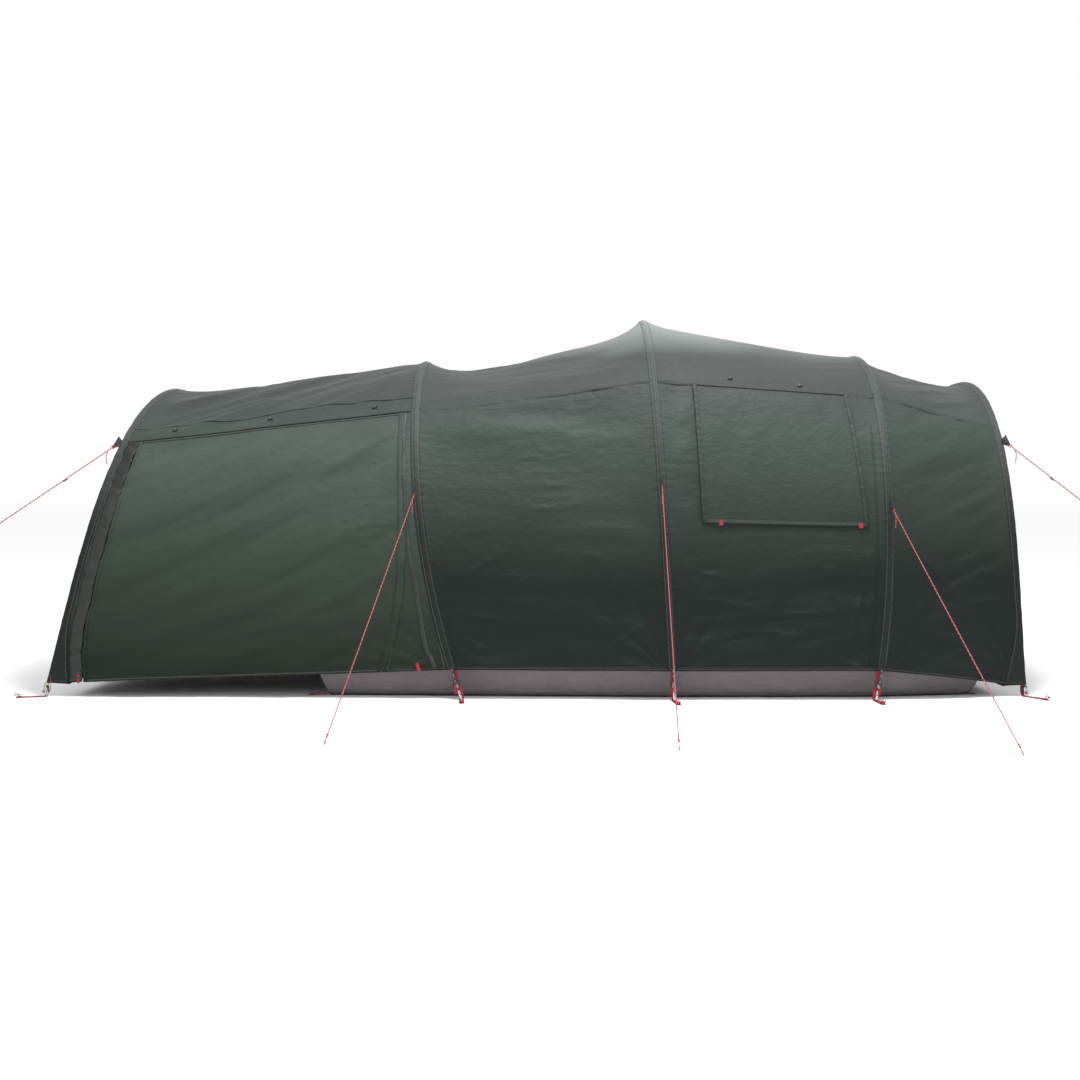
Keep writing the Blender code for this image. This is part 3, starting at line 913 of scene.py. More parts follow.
class TENT_OT_fly(bpy.types.Operator):
    """Make the roofs, walls and gussets of the fly"""

    bl_idname = "tent.fly"
    bl_label = "Fly panels"

    def execute(self, context):
        for bay in BAYS:
            poles = [f"pole_arch_{bay + 1}", f"pole_arch_{bay + 2}"]
            declared_cloth(f"roof_{bay + 1}_cloth", roof_place(bay), MATERIALS["roof"], "tent",
                           "roof_cloth",
                           [f"roof_{bay + 1}"], poles)
        for side_name, side in SIDES:
            for bay in (LIVING, WINDOWED, REAR):
                self.wall(bay, side_name, side)
            gap = DOOR_GAP / BAY_LENGTH[AWNING]
            declared_cloth(
                f"side_gusset_front_{side_name}_cloth", wall_place(AWNING, side, 0.0, DOOR_FRONT - gap),
                MATERIALS["awning"], "tent", "wall_cloth", [f"side_gusset_front_{side_name}"],
                ["pole_arch_1"])
            declared_cloth(
                f"side_gusset_rear_{side_name}_cloth", wall_place(AWNING, side,
                                                                  lambda v: door_rear(v) + gap, 1.0),
                MATERIALS["awning"], "tent", "wall_cloth", [f"side_gusset_rear_{side_name}"],
                ["pole_arch_2"])
            self.seams(side_name, side)
        return {"FINISHED"}

    def wall(self, bay, side_name, side):
        name = f"wall_{bay + 1}_{side_name}"
        poles = [f"pole_arch_{bay + 1}", f"pole_arch_{bay + 2}"]
        place = wall_place(bay, side)
        if bay != WINDOWED:
            declared_cloth(f"{name}_cloth", place, MATERIALS["wall"], "tent", "wall_cloth", [name], poles)
            return
        size = cut_size(place)
        cells = cells_for(size)
        across, down = (
            [round(share * count) / count for share in shares]
            for shares, count in ((WINDOW_ACROSS, cells[0]), (WINDOW_DOWN, cells[1])))

        def place_aligned(u, v):
            return place(np.interp(u, [0, *across, 1], [0, *WINDOW_ACROSS, 1]),
                         np.interp(v, [0, *down, 1], [0, *WINDOW_DOWN, 1]))

        def hole(u, v):
            return across[0] < u < across[1] and down[0] < v < down[1]

        made = cloth(f"{name}_cloth", cells, place_aligned, size, MATERIALS["wall"], "tent", "wall_cloth",
                     [name], hole)

    def seams(self, side_name, side):
        for bay in (LIVING, WINDOWED, REAR):
            path, out = seam_path(bay, side, 0.006, 0.994)
            strip(f"seam_{bay + 1}_{side_name}", path, out, 0.050, MATERIALS["wall_strip"], "tent",
                  lift=-0.0022,
                  crown=0.0052, across_cells=8)
            path, out = hem_path(bay, side, 0.01, 0.99)
            strip(f"hem_{bay + 1}_{side_name}", path, out, 0.018, MATERIALS["wall"], "tent", lift=0.0012,
                  crown=0.001)
        path, out = seam_path(AWNING, side, 0.004, 0.996, above=0.105)
        strip(f"awning_seam_{side_name}", path, out, 0.009, MATERIALS["awning"], "tent", lift=0.0010,
              crown=0.0018,
              puckers=0.0012)
        path, out = run_on_fly(WINDOWED, (0.955, 0.955), (side * (seam(WINDOWED, 0.955) + 0.09),
                                                          side * 0.985))
        strip(f"wall_seam_{side_name}", path, out, 0.009, MATERIALS["wall"], "tent", lift=0.001,
              crown=0.0014)


def sleeve_columns(arch, around):
    """The lines of a pole sleeve, side by side across the pole, each through the given places round."""
    centre = on_arch(arch, around)
    step = 0.003
    down = unit(on_arch(arch, around + step) - on_arch(arch, around - step))
    out = unit(np.cross(np.array([1.0, 0.0, 0.0]), down))
    out *= np.where((out[:, 2:] < 0) & (np.abs(around) < 0.5)[:, None], -1, 1)
    out *= np.where(np.sum(out * centre * np.array([0, 1, 1]), axis=1, keepdims=True) < 0, -1, 1)
    fore = unit(np.cross(down, out))
    fore *= np.where(fore[:, :1] < 0, -1, 1)
    radius = bpy.context.scene.tent_cloth.sleeve_radius
    wobble = 0.0010 * noise(np.stack([around * 60, around * 0 + arch], -1), 51)

    def hump(degrees):
        angle = math.radians(degrees)
        return centre + (fore * math.cos(angle) + out * math.sin(angle)) * (radius + wobble)[:, None]

    def margin(bay, metres, lift):
        share = metres / BAY_LENGTH[bay]
        along = share if bay == arch else 1 - share
        return skin(bay, along, around, lift)[0]

    if arch == ARCHES[0] or arch == ARCHES[-1]:
        bay = AWNING if arch == ARCHES[0] else REAR
        edge = end_wall_edge(arch, around)
        bends = (38, 62, 90, 118, 146, 174, 202, 228)
        if arch == ARCHES[-1]:
            bends = [180 - degrees for degrees in bends]
        columns = [margin(bay, 0.016, 0.0008), margin(bay, 0.010, 0.0022), margin(bay, 0.001, 0.0026)]
        columns += [hump(degrees) for degrees in bends]
        low = centre - out * radius * 1.15
        columns += [mix(low, edge, share) for share in (0.25, 0.6, 1.0)]
        return columns
    columns = [margin(arch - 1, 0.012, 0.0008), margin(arch - 1, 0.007, 0.0022),
               margin(arch - 1, 0.001, 0.0026)]
    columns += [hump(degrees) for degrees in (142, 122, 100, 80, 58, 38)]
    columns += [margin(arch, 0.001, 0.0026), margin(arch, 0.007, 0.0022), margin(arch, 0.012, 0.0008)]
    return columns


def end_wall_edge(arch, around):
    """The line where an end wall meets its sleeve."""
    inward = 1 if arch == ARCHES[0] else -1
    point = on_arch(arch, around)
    point[..., 2] -= END_WALL_GAP
    point[..., 0] += inward * (END_WALL_INSET + end_inset(point[..., 2]))
    point[..., 1] -= np.sign(around) * END_WALL_GAP
    return point


class TENT_OT_sleeves(bpy.types.Operator):
    """Make the sleeves that hold the poles, and finish the poles"""

    bl_idname = "tent.sleeves"
    bl_label = "Pole sleeves"

    def execute(self, context):
        for arch in ARCHES:
            rows = round(2 * HEM_TABLES[arch][0][-1] / 0.012)
            around = np.linspace(-1, 1, rows + 1)
            columns = np.array(sleeve_columns(arch, around))
            last = len(columns) - 1

            def place(u, v):
                return columns[np.rint(u * last).astype(int), np.rint(v * rows).astype(int)]

            width = float(np.linalg.norm(np.diff(columns, axis=0), axis=2).sum(0).mean())
            length = float(np.linalg.norm(np.diff(columns[last // 2], axis=0), axis=1).sum())
            size = (round(width, 3), round(length, 2))
            made = cloth(f"sleeve_{arch + 1}", (last, rows), place, size, MATERIALS["sleeve"], "tent",
                         "roof_cloth")
            self.pole(arch)
        return {"FINISHED"}

    def pole(self, arch):
        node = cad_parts[f"pole_arch_{arch + 1}"]
        node.data.materials.clear()
        node.data.materials.append(MATERIALS["pole"])
        for side_name, side in SIDES:
            runs = np.linspace(0.982, 0.9995, 5) * side
            tip = on_arch(arch, runs, POLE_TABLES)
            tube(f"pole_end_{arch + 1}_{side_name}", tip, [0.0064, 0.0066, 0.0066, 0.0066, 0.0058],
                 MATERIALS["steel"], "tent", around=14)
            band = on_arch(arch, np.linspace(0.969, 0.976, 4) * side, POLE_TABLES)
            finish = "mark" if arch in (0, 4) else "grey"
            tube(f"pole_mark_{arch + 1}_{side_name}", band, 0.0061, MATERIALS[finish], "tent",
                 around=14)


class TENT_OT_side_doors(bpy.types.Operator):
    """Make the lifting side doors with their zips and storm flaps"""

    bl_idname = "tent.side_doors"
    bl_label = "Side doors"

    def execute(self, context):
        for side_name, side in SIDES:
            body = f"side_door_{side_name}"
            declared_cloth(f"{body}_cloth", wall_place(AWNING, side, DOOR_FRONT, door_rear),
                           MATERIALS["awning"],
                           body, "wall_cloth", [body], ["roof_1_cloth"], held="hung")
            self.edges(body, side_name, side)
            self.flaps(side_name, side)
        return {"FINISHED"}

    def door_line(self, side, start, which, count=110, inset=0.0, lift=0.0):
        """A line down one edge of the door, from a share down it."""
        down = np.linspace(start, 0.995, count)
        along = np.full(count, DOOR_FRONT) if which == "front" else door_rear(down)
        along = along + inset / BAY_LENGTH[AWNING]
        return skin(AWNING, along, wall_around(AWNING, along, down, side), lift)

    def edges(self, body, side_name, side):
        tape = MATERIALS["tape"]
        for which, inset, width in (("front", 0.008, 0.014), ("rear", DOOR_GAP / 2, 0.042)):
            path, out = self.door_line(side, 0.004, which, inset=inset)
            strip(f"door_{which}_edge_{side_name}", path, out, width, MATERIALS["awning_strip"], body,
                  lift=0.0030,
                  crown=0.0006)
        path, out = hem_path(AWNING, side, DOOR_FRONT + 0.006, door_rear(1.0) - 0.006)
        strip(f"door_hem_{side_name}", path, out, 0.020, MATERIALS["awning"], body, lift=0.0012,
              crown=0.001)
        along = np.linspace(DOOR_FRONT + 0.006, DOOR_REAR_TOP - 0.006, 110)
        path, out = skin(AWNING, along, side * (seam(AWNING, along) + 0.012 / ROUND_LENGTH[AWNING]))
        strip(f"door_top_{side_name}", path, out, 0.010, tape, body, lift=0.0008, crown=0.0014,
              puckers=0.0015)

    def flaps(self, side_name, side):
        path, out = self.door_line(side, 0.006, "front", inset=-0.026)
        strip(f"storm_flap_{side_name}", path, out, 0.062, MATERIALS["storm"], "tent", lift=0.0060,
              crown=0.0045,
              puckers=0.0085, across_cells=10)
        down = np.linspace(0.01, 0.99, 110)
        along = 0.970 - 0.012 * down + 0.0080 * noise(np.stack([down * 9, down * 0 + side], -1), 89)
        around = wall_around(AWNING, along, down, side)
        path, out = skin(AWNING, along, around, 0.001)
        strip(f"rear_zip_tape_{side_name}", path, out, 0.020, MATERIALS["tape"], "tent", lift=0.0012,
              puckers=0.0020)
        path, out = skin(AWNING, along, around, 0.0040)
        tube(f"rear_zip_{side_name}", path, 0.0028, MATERIALS["plastic"], "tent", around=8)
        self.slider(side_name, path[-4], out[-4])

    def slider(self, side_name, place, out):
        shape = bmesh.new()
        block(shape, (0.009, 0.016, 0.005), facing(place, (1, 0, 0), out), 0.0018)
        block(shape, (0.005, 0.030, 0.0022), facing(place + out * 0.004 - np.array([0, 0, 0.018]),
                                                    (1, 0, 0), out),
              0.0009)
        finished(f"zip_slider_{side_name}", shape, MATERIALS["plastic"], "tent", smooth=False)


class TENT_OT_windows(bpy.types.Operator):
    """Make the window panes, their frames and the covers that hang over them"""

    bl_idname = "tent.windows"
    bl_label = "Windows"

    def execute(self, context):
        for side_name, side in SIDES:
            self.pane(side_name, side)
            self.cover(side_name, side)
        return {"FINISHED"}

    def pane(self, side_name, side):
        def place(u, v):
            along = mix(*WINDOW_ACROSS, u)
            return skin(WINDOWED, along, wall_around(WINDOWED, along, mix(*WINDOW_DOWN, v), side),
                        -0.0008)[0]

        declared_cloth(f"window_pane_{side_name}_film", place, MATERIALS["film"], "tent", "window_film",
                       [f"window_pane_{side_name}"], [f"wall_3_{side_name}_cloth"], cells=(36, 30))
        corners = [(0, 0), (1, 0), (1, 1), (0, 1), (0, 0)]
        for k, ((u0, v0), (u1, v1)) in enumerate(zip(corners, corners[1:])):
            share = np.linspace(0, 1, 50)
            along = mix(*WINDOW_ACROSS, mix(u0, u1, share))
            down = mix(*WINDOW_DOWN, mix(v0, v1, share))
            path, out = skin(WINDOWED, along, wall_around(WINDOWED, along, down, side))
            strip(f"window_frame_{k + 1}_{side_name}", path, out, 0.022, MATERIALS["tape"], "tent",
                  lift=0.0006 + 0.0003 * k, crown=0.0006)

    def cover_points(self, side, u, v, lift=0.0):
        """Points of the cover, which hangs from a straight line and fills a little below it."""
        front, rear = COVER_ACROSS
        along = mix(front, rear + COVER_FLARE * v, u)
        down = mix(*COVER_DOWN, v)
        around = wall_around(WINDOWED, along, down, side)
        out = outward(WINDOWED, along, around)
        slack = 0.0030 * stretched_noise(u * 0.86 + 3, v * 0.75, -64, 0.55, 0.10, 61)
        slack = slack + 0.0016 * ridges(stretched_noise(u * 0.86 + 5, v * 0.75, 74, 0.30, 0.05, 67), 2.5)
        pucker = 0.0022 * np.sin(v * 0.75 / 0.034 * 2 * math.pi) * np.exp(-np.minimum(u,
                                                                                      1 - u) * 0.86 / 0.03)
        belly = 0.010 * np.sin(math.pi * u) * np.sin(math.pi * np.clip(v, 0, 1)) ** 0.8
        rest = np.minimum(v / 0.10, 1.0)
        height = COVER_STAND_OFF - 0.003 * v + (slack + pucker) * rest + belly + lift
        point = fly(WINDOWED, along, around) + out * height[..., None]
        top = skin_line_over(side, u, lift)
        return mix(top, point, (rest * rest * (3 - 2 * rest))[..., None]), out

    def cover(self, side_name, side):
        body = f"window_cover_{side_name}"
        declared_cloth(f"{body}_cloth", lambda u, v: self.cover_points(side, u, v)[0],
                       MATERIALS["wall"],
                       body, "wall_cloth", [body], [f"wall_3_{side_name}_cloth"], held="hung")
        share = np.linspace(0.01, 0.992, 80)
        for label, at in (("front", 0.008), ("rear", 0.992)):
            path, out = self.cover_points(side, np.full(80, at), share, 0.0008)
            strip(f"cover_{label}_tape_{side_name}", path, out, 0.020, MATERIALS["wall_strip"], body,
                  lift=0.0022,
                  crown=0.0012, puckers=0.0026)
            path, out = self.cover_points(side, np.full(80, 0.0 if at < 0.5 else 1.0), share, -0.001)
            finish = "plastic" if at < 0.5 else "sleeve"
            tube(f"cover_{label}_zip_{side_name}", path, 0.0026, MATERIALS[finish], body)
        path, out = self.cover_points(side, np.linspace(0.005, 0.995, 90), np.full(90, 0.985), 0.0008)
        strip(f"cover_hem_{side_name}", path, out, 0.022, MATERIALS["wall"], body, lift=0.0006,
              crown=0.0016)
        path, out = self.cover_points(side, np.linspace(0.005, 0.995, 90), np.full(90, 0.018), 0.0008)
        strip(f"cover_top_{side_name}", path, out, 0.018, MATERIALS["wall_strip"], body, lift=0.0024,
              crown=0.0006)
        for k, at in enumerate((0.11, 0.955)):
            path, out = self.cover_points(side, np.full(12, at), np.linspace(0.978, 1.012, 12), 0.0020)
            strip(f"cover_tab_{k + 1}_{side_name}", path, out, 0.020, MATERIALS["red"], body, lift=0.0014,
                  crown=0.002)


def skin_line_over(side, u, lift):
    """The straight line that a window's cover hangs from."""
    ends = []
    for along in COVER_ACROSS:
        around = wall_around(WINDOWED, along, COVER_DOWN[0], side)
        ends.append(fly(WINDOWED, along, around) + outward(WINDOWED, along,
                                                           around) * (COVER_STAND_OFF + lift))
    return mix(ends[0], ends[1], np.asarray(u)[..., None])


class TENT_OT_end_walls(bpy.types.Operator):
    """Make the end walls and the front door"""

    bl_idname = "tent.end_walls"
    bl_label = "End walls"

    def execute(self, context):
        self.wall("rear_wall", 4, (3, 3))
        door_top = at_height(0, FRONT_DOOR_TOP + END_WALL_GAP)
        self.wall("front_wall", 0, (11, 13), door_top)
        self.door()
        return {"FINISHED"}

    def point(self, arch, around, width, seed):
        """Points of an end wall, as high as the arch at a place round it, with its folds."""
        inward = 1 if arch == ARCHES[0] else -1
        point = on_arch(arch, around)
        height = point[..., 2] - END_WALL_GAP
        x = point[..., 0] + inward * (END_WALL_INSET + end_inset(height))
        s = width + 9.0
        calm = 1 - np.exp(-(np.abs(point[..., 1] - np.abs(width)) / 0.06) ** 2)
        slack = 0.006 * noise(np.stack([s / 0.5, height / 0.45], -1), seed)
        slack = slack + 0.0035 * stretched_noise(s, height, 24, 0.8, 0.14, seed + 1)
        slack = slack + 0.0030 * ridges(stretched_noise(s, height, -18, 0.4, 0.09, seed + 2), 2.5)
        return np.stack([x + inward * slack * calm, width, height], -1)

    def wall(self, name, arch, seeds, door_top=None):
        def place(u, v):
            around = mix(END_WALL_TOP, 1.0, v) if door_top is None else np.interp(
                v, [0, rows[0], 1], [END_WALL_TOP, door_top, 1.0])
            edge = on_arch(arch, around)[..., 1] - END_WALL_GAP
            if door_top is None:
                width = edge * (2 * u - 1)
            else:
                half = np.minimum(FRONT_DOOR_HALF_WIDTH, FRONT_DOOR_MOST * edge)
                share = np.abs(2 * u - 1)
                width = np.sign(2 * u - 1) * np.where(
                    share <= 0.5, half * share * 2, half + (edge - half) * (share * 2 - 1))
            return self.point(arch, around, width, seeds[0])

        cells = (120, 96)
        rows = [24 / 96]
        size = cut_size(place)
        hole = None if door_top is None else (lambda u, v: 0.25 < u < 0.75 and v > rows[0])
        made = cloth(name + "_cloth", cells, place, size, MATERIALS["wall"], "tent", "wall_cloth", [name],
                     hole)
        if door_top is None:
            self.trims(4, None, seeds)
            return
        self.trims(0, door_top, seeds)

    def trims(self, arch, door_top, seeds):
        share = np.linspace(0.0, 1.0, 80)
        out = np.tile([1.0 if arch else -1.0, 0.0, 0.0], (80, 1))
        edge = float(on_arch(arch, 1.0)[1]) - END_WALL_GAP
        if door_top is None:
            path = self.point(arch, np.full(80, 0.994), mix(-edge, edge, share) * 0.985, seeds[0])
            strip("rear_hem", path, out, 0.020, MATERIALS["tape"], "tent", lift=0.0015)
            path = self.point(arch, mix(0.05, 0.99, share), np.zeros(80), seeds[0])
            strip("rear_seam", path, out, 0.014, MATERIALS["tape"], "tent", lift=0.0015, crown=0.001)
            return
        for side_name, side in SIDES:
            line = np.full(80, side * (FRONT_DOOR_HALF_WIDTH + 0.010))
            around = mix(door_top, 0.985, share)
            path = self.point(arch, around, line, seeds[0])
            strip(f"front_door_tape_{side_name}", path, out, 0.030, MATERIALS["flap"], "tent", lift=0.0015,
                  crown=0.003, puckers=0.002)
        line = mix(-1, 1, share) * FRONT_DOOR_HALF_WIDTH
        path = self.point(arch, np.full(80, door_top - 0.006), line, seeds[0])
        strip("front_door_top_tape", path, out, 0.022, MATERIALS["tape"], "tent", lift=0.0015, crown=0.001)

    def door(self):
        half = FRONT_DOOR_HALF_WIDTH - DOOR_GAP

        def place(u, v):
            height = mix(FRONT_DOOR_TOP - DOOR_GAP, FRONT_DOOR_SILL, v)
            runs, points = HEM_TABLES[0]
            around = np.interp(-(height + END_WALL_GAP), -points[:, 2], runs) / runs[-1]
            return self.point(0, around, half * (2 * u - 1), 11)

        declared_cloth("front_door_cloth", place, MATERIALS["awning"], "front_door", "wall_cloth",
                       ["front_door"], ["front_wall_cloth"], held="hung")
        share = np.linspace(0.01, 0.99, 80)
        out = np.tile([-1.0, 0.0, 0.0], (80, 1))
        for label, u, v in (("near_edge", 0.012, share), ("far_edge", 0.988, share), ("hem", share, 0.990)):
            path = place(np.broadcast_to(u, 80), np.broadcast_to(v, 80))
            strip(f"front_door_{label}", path, out, 0.018, MATERIALS["tape"], "front_door", lift=0.0012,
                  crown=0.001, puckers=0.001)


# The groundsheet, feet and guys

def hem_half_width(x):
    hems = np.array([on_arch(arch, 1.0) for arch in ARCHES])
    return np.interp(x, hems[:, 0], hems[:, 1])


class TENT_OT_groundsheet(bpy.types.Operator):
    """Make the groundsheet, a tray whose wall shows under the fly"""

    bl_idname = "tent.groundsheet"
    bl_label = "Groundsheet"

    def execute(self, context):
        front, rear = SHEET_ENDS
        slope = 0.07

        def place(u, v):
            x = mix(front, rear, u)
            hem = hem_half_width(x)
            side = np.sign(v - 0.5)
            share = np.abs(2 * v - 1)
            rise = np.clip((share - 0.88) / 0.12, 0, 1)
            end = np.maximum(np.clip((front + slope - x) / slope, 0, 1),
                             np.clip((x - rear + slope) / slope, 0, 1))
            waves = noise(np.stack([x / 0.11, side * 3.0 + 0.5], -1), 71)
            fine = noise(np.stack([x / 0.035, side * 2 + rise * 2.0], -1), 73)
            scallop = 0.012 * np.abs(np.sin((x - front) / (rear - front) * math.pi * 9)) * rise
            bottom = hem - SHEET_FLOOR_INSET
            y = np.where(share < 0.88, bottom * share / 0.88, mix(bottom, hem - SHEET_TOP_INSET, rise))
            y = y + rise * (1 - rise) * 4 * (0.010 * waves + 0.004 * fine)
            floor = 0.0020 + 0.0015 * (1 + noise(np.stack([x / 0.3, v * 6], -1), 79)) * (share < 0.86)
            z = mix(floor, SHEET_WALL_HEIGHT + 0.035 * rise - scallop, np.maximum(rise, end ** 1.4))
            return np.stack([x, y * np.where(side == 0, 0, side), z], -1)

        declared_cloth("groundsheet_tray", place, MATERIALS["skirt"], "tent", "groundsheet_cloth",
                       ["groundsheet"], ["foot_strap_2_near", "foot_strap_3_near"], held="laid",
                       cells=(300, 120), middle=Vector((0.6, 0.0, 0.6)))
        for side_name, side in SIDES:
            x = np.linspace(front + 0.06, rear - 0.03, 160)
            y = side * (hem_half_width(x) - SHEET_FLOOR_INSET + 0.004)
            dip = 0.0012 * noise(np.stack([x / 0.08, x * 0], -1), 83)
            path = np.stack([x, y, 0.0042 + dip], -1)
            tube(f"groundsheet_edge_{side_name}", path, 0.0028, MATERIALS["black"], "tent")
            self.peg_loop(side_name, side)
        return {"FINISHED"}

    def peg_loop(self, side_name, side):
        """The red loop at the front corner of the groundsheet."""
        x = SHEET_ENDS[0]
        y = side * (hem_half_width(x) - SHEET_FLOOR_INSET)
        corners = [(x + 0.06, y, 0.010), (x + 0.01, y + side * 0.01, 0.006),
                   (x - 0.035, y + side * 0.015, 0.004),
                   (x - 0.055, y + side * 0.02, 0.006), (x - 0.035, y + side * 0.026, 0.010),
                   (x + 0.02, y, 0.016)]
        path = smooth_path(corners, 30)
        out = np.tile([0.0, 0.0, 1.0], (30, 1))
        strip(f"groundsheet_loop_{side_name}", path, out, 0.018, MATERIALS["red"], "tent", lift=0.0005,
              offset=0.0)


def mirrored(points, side):
    points = np.array(points, float)
    points[..., 1] *= side
    return points


def hook_peg(name, place, lean, finish="steel", size=1.0):
    """The part of a wire peg that shows above the ground: a hook turned back towards the ground."""
    place = np.array(place, float)
    lean = np.array([lean[0], lean[1], 0.0])
    lean /= np.linalg.norm(lean)
    shape = [(0.0, 0.0), (0.002, 0.018), (0.010, 0.027), (0.020, 0.024), (0.024, 0.014)]
    path = smooth_path([place + lean * along * size + np.array([0, 0, high * size + 0.003]) for along,
                        high in shape],
                       26)
    return tube(name, path, 0.0024, MATERIALS[finish], "tent", around=10)


class TENT_OT_feet(bpy.types.Operator):
    """Make the webbing, buckles, cords and pegs at the feet of the poles"""

    bl_idname = "tent.feet"
    bl_label = "Feet"

    def execute(self, context):
        for arch in ARCHES:
            for side_name, side in SIDES:
                self.foot(arch, side_name, side)
        return {"FINISHED"}

    def foot(self, arch, side_name, side):
        foot = on_arch(arch, 1.0, POLE_TABLES)
        hem = on_arch(arch, 1.0)
        reach = np.array([STRAP_REACH[arch][0], -STRAP_REACH[arch][1], 0.0])
        direction = reach / np.linalg.norm(reach)
        across = np.array([direction[1], -direction[0], 0.0])
        behind = -direction * 0.014
        up = np.array([0.0, 0.0, 1.0])
        ground = np.array([foot[0], foot[1], 0.0015])
        frame_route = [
            hem + up * 0.035 + behind,
            mix(hem, foot, 0.35) * [1, 1, 0] + up * hem[2] * 0.72 + behind * 1.35,
            mix(hem, foot, 0.75) * [1, 1, 0] + up * hem[2] * 0.36 + behind * 1.40,
            foot * [1, 1, 0] + up * 0.014 + behind * 1.2,
            ground + up * 0.001 + behind * 0.7,
            ground + reach * 0.10 + up * 0.001,
            ground + reach * 0.50 + up * 0.004,
            ground + reach * 0.86 + up * 0.003,
            ground + reach * 0.99,
        ]
        path = mirrored(smooth_path(frame_route, 70), side)
        along = unit(np.gradient(path, axis=0))
        sideways = mirrored(np.tile(across, (70, 1)), side)
        out = unit(np.cross(along, sideways))
        out *= np.where(np.sum(out * (mirrored(np.tile(direction, (70, 1)), side) + [0, 0, 1]), 1,
                               keepdims=True) < 0, -1, 1)
        if arch == ARCHES[0]:
            strip(f"hem_strap_{side_name}", path[:26], out[:26], 0.020, MATERIALS["grey"], "tent",
                  lift=0.0012,
                  thickness=0.0014, offset=0.0)
        strip(f"foot_webbing_{arch + 1}_{side_name}", path, out, 0.025, MATERIALS["red"], "tent", lift=0.0,
              thickness=0.0016, replaces=[f"foot_strap_{arch + 1}_{side_name}"], offset=0.0)
        self.fittings(arch, side_name, side, foot, hem, reach, direction, across)

    def fittings(self, arch, side_name, side, foot, hem, reach, direction, across):
        up = np.array([0.0, 0.0, 1.0])
        label = f"{arch + 1}_{side_name}"
        ground = np.array([foot[0], foot[1], 0.0])
        middle = mix(hem, foot, 0.45) * [1, 1, 0] + up * hem[2] * 0.56 - direction * 0.010
        shape = bmesh.new()
        upright = mirrored(unit(hem + up * 0.1 - foot), side)
        face = mirrored(direction, side)
        width = mirrored(across, side)
        for rise, size in ((0.013, 0.0055), (0.0, 0.005), (-0.013, 0.0055)):
            block(shape, (0.034, size, 0.006), facing(mirrored(middle, side) + upright * rise, width, face),
                  0.0016)
        for off in (-0.0155, 0.0155):
            block(shape, (0.0045, 0.030, 0.006), facing(mirrored(middle, side) + width * off, width, face),
                  0.0016)
        finished(f"ladder_lock_{label}", shape, MATERIALS["plastic"], "tent", smooth=False)
        fall = min(0.055, middle[2] - 0.012)
        tail = [middle + direction * 0.003, middle + direction * 0.012 - up * fall * 0.22,
                middle + direction * 0.020 - up * fall * 0.64, middle + direction * 0.016 - up * fall]
        path = mirrored(smooth_path(tail, 24), side)
        along = unit(np.gradient(path, axis=0))
        out = unit(np.cross(along, np.tile(width, (24, 1))))
        strip(f"webbing_tail_{label}", path, out, 0.018, MATERIALS["red"], "tent", lift=0.0,
              thickness=0.0014,
              offset=0.0)
        loop = [ground + reach * 0.72 + up * 0.006, ground + reach * 0.98 + up * 0.010,
                ground + reach * 1.04 + up * 0.014, ground + reach * 0.98 + up * 0.019,
                ground + reach * 0.80 + up * 0.013]
        path = mirrored(smooth_path(loop, 30), side)
        along = unit(np.gradient(path, axis=0))
        out = unit(np.cross(along, np.tile(width, (30, 1))))
        strip(f"peg_loop_{label}", path, out, 0.020, MATERIALS["red"], "tent", lift=0.0, thickness=0.0014,
              offset=0.0)
        hook_peg(f"foot_peg_{label}", mirrored(ground + reach * 0.90, side), mirrored(direction, side)[:2])
        cord = [hem + up * 0.006 + direction * 0.012, mix(hem, foot, 0.3) + direction * 0.014 - up * 0.01,
                mix(hem, foot, 0.8) + direction * 0.012, foot * [1, 1, 0] + up * 0.030 + direction * 0.010,
                foot * [1, 1, 0] + up * 0.026 - direction * 0.008]
        path = mirrored(smooth_path(cord, 30), side)
        tube(f"hem_cord_{label}", path, 0.0019, MATERIALS["elastic"], "tent")


def guy_points(arch):
    """The corners of a guy's tab and the route of its rope, on the far side, as in the frame."""
    around = at_height(arch, TAB_HEIGHT[arch])
    up = unit(on_arch(arch, around - 0.02) - on_arch(arch, around + 0.02))
    out = unit(np.array([0.0, up[2], -up[1]]))
    base = on_arch(arch, around) + out * TAB_STAND_OFF
    peg = np.array([*PEG_PLACE[arch], ROPE_RADIUS])
    pull = unit(peg - base)
    tip = base + pull * TAB_LENGTH
    share = np.linspace(0, 1, 60)[:, None]
    rope = mix(tip + pull * 0.001, peg, share)
    rope[:, 2] -= (4 * ROPE_SAG * share * (1 - share))[:, 0]
    return base, up, out, pull, tip, rope


